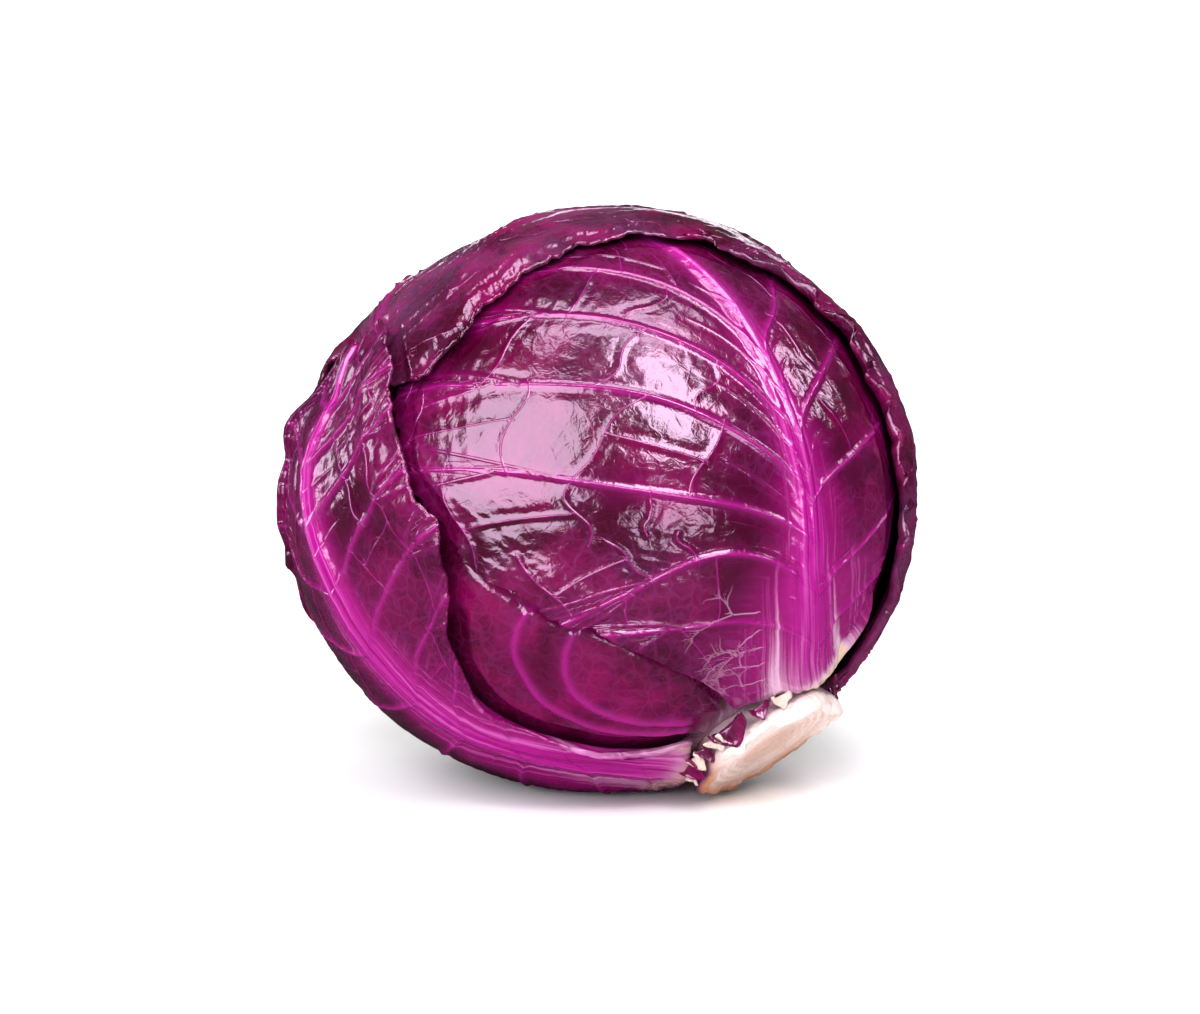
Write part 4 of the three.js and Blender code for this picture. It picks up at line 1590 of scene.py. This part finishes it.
@dataclass
class Studio:
    """The pale floor, its lamps, the sky light and the camera."""

    floor_name: str = "studio_floor"
    floor_tint: tuple[float, float, float, float] = (0.93, 0.98, 0.92, 1.0)
    floor_mirrored: tuple[float, float, float, float] = (0.03, 0.03, 0.03, 1.0)
    sky: float = 0.045
    wall_power: float = 40.0
    wall_size: tuple[float, float] = (2200.0, 500.0)
    # Each lamp: azimuth, elevation, distance, width and height, power
    lamps: tuple[Softbox, ...] = (
        Softbox("lamp_left", -33, 31, 720, (560, 640), 8.0),
        Softbox("lamp_right_high", 31, 50, 720, (270, 480), 5.2),
        Softbox("lamp_top", 10, 84, 760, (560, 200), 2.6),
        Softbox("lamp_right_low", 98, 36, 760, (130, 240), 0.9),
        Softbox("lamp_right_front", 24, 2, 900, (260, 200), 1.0),
        Softbox("lamp_back", 180, 13, 760, (420, 60), 0.4),
        Softbox("lamp_left_back", -106, 12, 760, (160, 300), 1.0),
    )

    def build(self) -> None:
        """Sets up the whole studio."""
        self.build_floor()
        for lamp in self.lamps:
            lamp.build()
        self.build_wall_lamp()
        world = bpy.data.worlds.new("studio_sky")
        world.use_nodes = True
        sky = world.node_tree.nodes["Background"]
        sky.inputs["Color"].default_value = (1.0, 1.0, 1.0, 1.0)
        sky.inputs["Strength"].default_value = self.sky
        bpy.context.scene.world = world
        bpy.context.scene.view_settings.view_transform = "Standard"
        self.build_camera()

    def build_floor(self) -> None:
        """Lays the floor, which sweeps up far behind the head."""
        reach, back, rise, radius = 1600.0, 900.0, 1400.0, 400.0
        sweep = np.linspace(0, math.pi / 2, 16)
        run = np.concatenate([[-reach], back + radius * np.sin(sweep), [back + radius]])
        up = np.concatenate([[0.0], radius * (1 - np.cos(sweep)), [rise]])
        points = [(side * reach, y, z) for y, z in zip(run, up) for side in (-1, 1)]
        faces = np.array([(2 * i, 2 * i + 1, 2 * i + 3, 2 * i + 2) for i in range(len(run) - 1)])
        floor = new_object(self.floor_name, np.array(points), [faces], {})
        material = bpy.data.materials.new(self.floor_name)
        material.use_nodes = True
        shader = material.node_tree.nodes["Principled BSDF"]
        shader.inputs["Roughness"].default_value = 0.85
        shader.inputs["Specular IOR Level"].default_value = 0.1
        tree = Tree(material.node_tree)
        mirrored = tree.add("ShaderNodeLightPath").outputs["Is Glossy Ray"]
        tint = tree.blend(mirrored, self.floor_tint, self.floor_mirrored)
        tree.feed(shader.inputs["Base Color"], tint)
        floor.data.materials.append(material)

    def build_wall_lamp(self) -> None:
        """Hangs the lamp that keeps the wall behind the head white."""
        lamp = hang_lamp("lamp_wall", self.wall_size, self.wall_power)
        lamp.location = (0.0, 0.45, 1.0)
        lamp.rotation_euler = (math.radians(78.0), 0.0, 0.0)

    def build_camera(self) -> None:
        """Stands the camera before the head, a little above it."""
        data = bpy.data.cameras.new("camera")
        data.sensor_width = SENSOR_WIDTH
        data.lens = PIXELS_PER_MM * VIEW_DISTANCE * SENSOR_WIDTH / PICTURE_WIDTH
        data.clip_start = 0.05
        camera = bpy.data.objects.new("camera", data)
        back = Vector((0.0, -math.cos(VIEW_RISE), math.sin(VIEW_RISE)))
        camera.location = Vector(VIEW_AIM * MM) + back * VIEW_DISTANCE * MM
        camera.rotation_euler = back.to_track_quat("Z", "Y").to_euler()
        bpy.context.scene.collection.objects.link(camera)
        bpy.context.scene.camera = camera


def wrapper_leaves() -> list[Leaf]:
    """Gives the wrapper leaves from the innermost to the outermost.

    Returns:
        The four leaves.
    """
    under = Leaf(
        "leaf_under", "leaf_under", thickness=1.3, phase=0.6, seed=21, cell=1.1,
        stations=[
            Station((17, 188), Half((17, 197), (17.5, 206), 0),
                    Half((17, 179), (17.5, 170), 0), ""),
            Station((28, 182), Half((31, 196), (32, 212)), Half((31, 168), (32, 150))),
            Station((44, 180), Half((50, 200), (54, 218)), Half((50, 160), (54, 138))),
            Station((60, 177), Half((69, 198), (74, 220)), Half((68, 155), (74, 128))),
            Station((76, 173), Half((87, 195), (94, 218)), Half((86, 150), (92, 120))),
            Station((92, 168), Half((104, 190), (113, 210)), Half((104, 142), (109, 113))),
            Station((108, 163), Half((121, 183), (130, 200)), Half((119, 136), (125, 110))),
            Station((124, 158), Half((136, 172), (144, 188)), Half((134, 136), (138, 115))),
            Station((142, 150), Half((148, 157), (151, 166)), Half((147, 142), (148, 134)), ""),
        ],
    )
    front = Leaf(
        "leaf_front", "leaf_front", thickness=1.4, phase=0.0, seed=22, cell=0.76, lace=5,
        folds=0.14,
        stations=[
            Station((17, -2), Half((17, 25), (17.5, 58), 0), Half((17, -14), (17, -27), 0), ""),
            Station((21, 8), Half((23, 34), (33, 61.5), 2), Half((26, -6), (30, -22), 1), ""),
            Station((27, 13), Half((40, 24), (53, 71), 3), Half((34, -2), (43.5, -24.5), 0.5)),
            Station((38, 15), Half((61, 28), (60, 76), 2.5), Half((44, 1), (55.5, -26), 0.3)),
            Station((43, 15), Half((62, 27), (80, 82.5), 2), Half((48, -1), (59, -26), 0.3), ""),
            Station((48, 14), Half((63, 25), (103, 85), 1), Half((53, -3), (62, -26), 0.3), "l"),
            Station((55.5, 12.5), Half((78, 17), (117, 80), 0.5),
                    Half((63, 0), (69.5, -25.5), 0.3)),
            Station((66, 11), Half((98, 18), (126, 70), 0), Half((76, 8), (87, -22), 0.3)),
            Station((82, 9.5), Half((110, 12), (134, 55), 0), Half((93, 5), (104, -20), 0.5)),
            Station((104, 7), Half((124, 14), (139, 40), 0), Half((112, 0), (119, -20), 0), ""),
            Station((123, 5), Half((135, 11), (143, 26), 0), Half((129, -1), (134, -15), 0), ""),
            Station((138, 2), Half((141, 8), (145, 15), 0), Half((140, -3), (142, -9), 0), ""),
        ],
    )
    back = Leaf(
        "leaf_back", "leaf_back", thickness=1.5, phase=1.9, seed=23, cell=1.05, frill=0.7,
        folds=0.9,
        stations=[
            Station((17, 250), Half((17, 270), (17.5, 292), 0),
                    Half((17, 231), (17.5, 212), 0), ""),
            Station((24, 252), Half((27, 284), (28, 328), 0.1, 2.2), Half((27, 225), (28, 198))),
            Station((36, 253), Half((42, 288), (45, 338.5), 0.0, 3.2), Half((42, 222), (46, 191))),
            Station((48, 253), Half((57, 291), (60, 342.5), 0.0, 3.6),
                    Half((56, 220), (62, 186), 1)),
            Station((61, 253), Half((73, 294), (76, 345), 0.0, 3.6),
                    Half((70, 218), (78, 182), 1.5)),
            Station((75, 253), Half((89, 297), (92, 347), 0.0, 3.2), Half((86, 216), (94, 177), 2)),
            Station((91, 253), Half((107, 301), (106, 355), 0.1, 2.2),
                    Half((104, 212), (111, 169), 2)),
            Station((108, 254), Half((126, 305), (118.5, 366), 0.1, 1.2),
                    Half((123, 204), (128, 157), 2), ""),
            Station((126, 256), Half((144, 315), (123, 378), 0.3, 0.6),
                    Half((140, 192), (139, 138), 1.5), ""),
            Station((145, 259), Half((161, 345), (124.5, 392), 0.3, 0.6),
                    Half((156, 170), (143, 122), 1), ""),
            Station((165, 264), Half((158, 385), (122, 407), 0.3, 0.6),
                    Half((164, 130), (145, 110)), ""),
            Station((173, 440), Half((148, 412), (117, 419), 0.5, 1),
                    Half((158, 105), (146, 102), 0), ""),
            Station((157, 441), Half((134, 430), (114.5, 430), 0.5, 1),
                    Half((150, 96), (144, 96), 0), ""),
            Station((139, 441), Half((127, 439), (119, 438)), Half((137, 85), (136, 88), 0), ""),
        ],
    )
    side = Leaf(
        "leaf_side", "leaf_side", thickness=1.6, phase=3.1, seed=24, frill=0.2,
        lobe_length=17.0, folds=0.3,
        stations=[
            Station((17, 130), Half((17, 147), (17.5, 165), 0), Half((17, 114), (17.5, 98), 0), ""),
            Station((24, 122), Half((26, 152), (28, 190), 0), Half((27, 115), (31.5, 109), 1.5)),
            Station((36, 120), Half((38, 160), (41, 209)), Half((41, 115), (46, 110.5), 2)),
            Station((48, 120.5), Half((54, 160), (60, 201), 1), Half((53, 116), (58, 109), 2.5)),
            Station((60, 121), Half((70, 152), (80, 179), 2), Half((66, 114), (68.5, 102), 2.5)),
            Station((71, 119.5), Half((84, 146), (96, 159), 1.5, 1),
                    Half((77, 110), (78, 90.5), 2)),
            Station((83, 116.5), Half((96, 136), (108, 144), 1.5, 2.5),
                    Half((90, 102), (89, 81.5), 1.5)),
            Station((95, 113.5), Half((106, 127), (118, 133), 1.5, 3.5),
                    Half((102, 97), (101, 81.5), 1.5)),
            Station((107, 111), Half((116, 120), (126, 125), 1.5, 3.5),
                    Half((112, 95), (112, 77), 1.5)),
            Station((117.5, 108), Half((124, 112), (132, 117), 1.2, 3),
                    Half((120, 92), (121, 74), 1.5)),
            Station((126, 100), Half((130, 103), (136, 104), 1, 2),
                    Half((127, 86), (130, 73.5), 1.5)),
            Station((135, 87), Half((138, 88), (140.5, 90), 1),
                    Half((137, 81), (138.5, 78), 1), ""),
        ],
    )
    return [under, front, back, side]


def stalk_stubs() -> list[tuple[StalkStubs, LeafFinish | FleshFinish]]:
    """Gives the stubs round the stem with their finishes.

    Returns:
        Each row of stubs with its finish.
    """
    # Each place: turn in degrees, distance from the axis, depth, width and height
    purple = StalkStubs(
        "stalk_stubs_purple",
        "leaf_back",
        (
            (45, 21.0, 3.4, 6.0, 3.4),
            (68, 21.0, 4.6, 11.0, 5.6),
            (92, 20.8, 3.4, 4.6, 4.0),
            (114, 20.6, 4.2, 7.6, 5.4),
            (-40, 20.8, 3.6, 7.0, 5.0),
            (-62, 20.4, 3.2, 5.4, 4.4),
        ),
    )
    pale = StalkStubs(
        "stalk_stubs_pale",
        "stem_flesh",
        (
            (80, 21.6, 3.0, 5.0, 3.6),
            (103, 21.0, 3.0, 5.4, 4.2),
            (127, 20.6, 2.8, 5.0, 4.4),
            (28, 20.4, 2.6, 6.0, 3.6),
        ),
        wall=0.35,
    )
    return [
        (purple, LeafFinish("stub_skin", deep="#42001a", middle="#82084e")),
        (pale, FleshFinish("stub_flesh", middle="#d8c2b2", brown="#cfae92")),
    ]


def finish_leaf(piece: bpy.types.Object, skin: bpy.types.NodeTree, material: bpy.types.Material,
                seed: int) -> bpy.types.Object:
    """Raises the finest net on a leaf and gives it its finish.

    Args:
        piece: The leaf's object.
        skin: The tree that raises the net.
        material: The leaf's material.
        seed: Shifts the net.

    Returns:
        The finished leaf.
    """
    values = {
        "Net Scale": NET_SCALE,
        "Net Height": NET_HEIGHT * MM,
        "Grain Height": GRAIN_HEIGHT * MM,
        "Seed": float(seed),
        "Finish": material,
    }
    return grow(piece, skin, values)


def place_piece(piece: bpy.types.Object, node: str = "") -> None:
    """Joins a piece to the head's body and hides the imported part of the node that it stands for.
    """
    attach(piece, BODY)
    if node:
        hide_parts(node)


def main() -> None:
    """Builds the cabbage, its studio and the camera."""
    logging.basicConfig(level=logging.INFO, format="%(message)s")
    leaves = wrapper_leaves()
    stack = Stack(leaves)
    skin, pattern = skin_tree(), pattern_group()
    finishes = {
        "leaf_under": LeafFinish("leaf_under_skin", deep="#2c0012", middle="#54002e"),
        "leaf_front": LeafFinish("leaf_front_skin", stalk_share=0.9, lace_share=0.4),
        "leaf_back": LeafFinish(
            "leaf_back_skin", deep="#30000f", middle="#6a003c", vein="#780a54", rib="#780a54",
            glow="#6a0040", streak="#864070", bloom="#7a4a74", bloom_share=0.25,
        ),
        "leaf_side": LeafFinish("leaf_side_skin", streak_share=0.8),
    }
    head_finish = LeafFinish("inner_leaf_skin", deep="#3c0018", middle="#6a003a")
    head = DenseHead()
    piece = finish_leaf(head.build(stack), skin, head_finish.build(pattern), 20)
    place_piece(piece, "head")
    LOG.info("head: %d faces", len(piece.data.polygons))
    for leaf in leaves:
        material = finishes[leaf.name].build(pattern)
        piece = finish_leaf(leaf.build(stack), skin, material, leaf.seed)
        place_piece(piece, "wrapper_" + leaf.name)
        LOG.info("%s: %d faces", leaf.name, len(piece.data.polygons))
    stem = Stem()
    piece = stem.build()
    piece.data.materials.append(FleshFinish("stem_cut_face").build(pattern))
    place_piece(piece, "stem")
    for stubs, material in stalk_stubs():
        place_piece(stubs.build(material.build(pattern)))
    Studio().build()


if __name__ == "__main__":
    main()
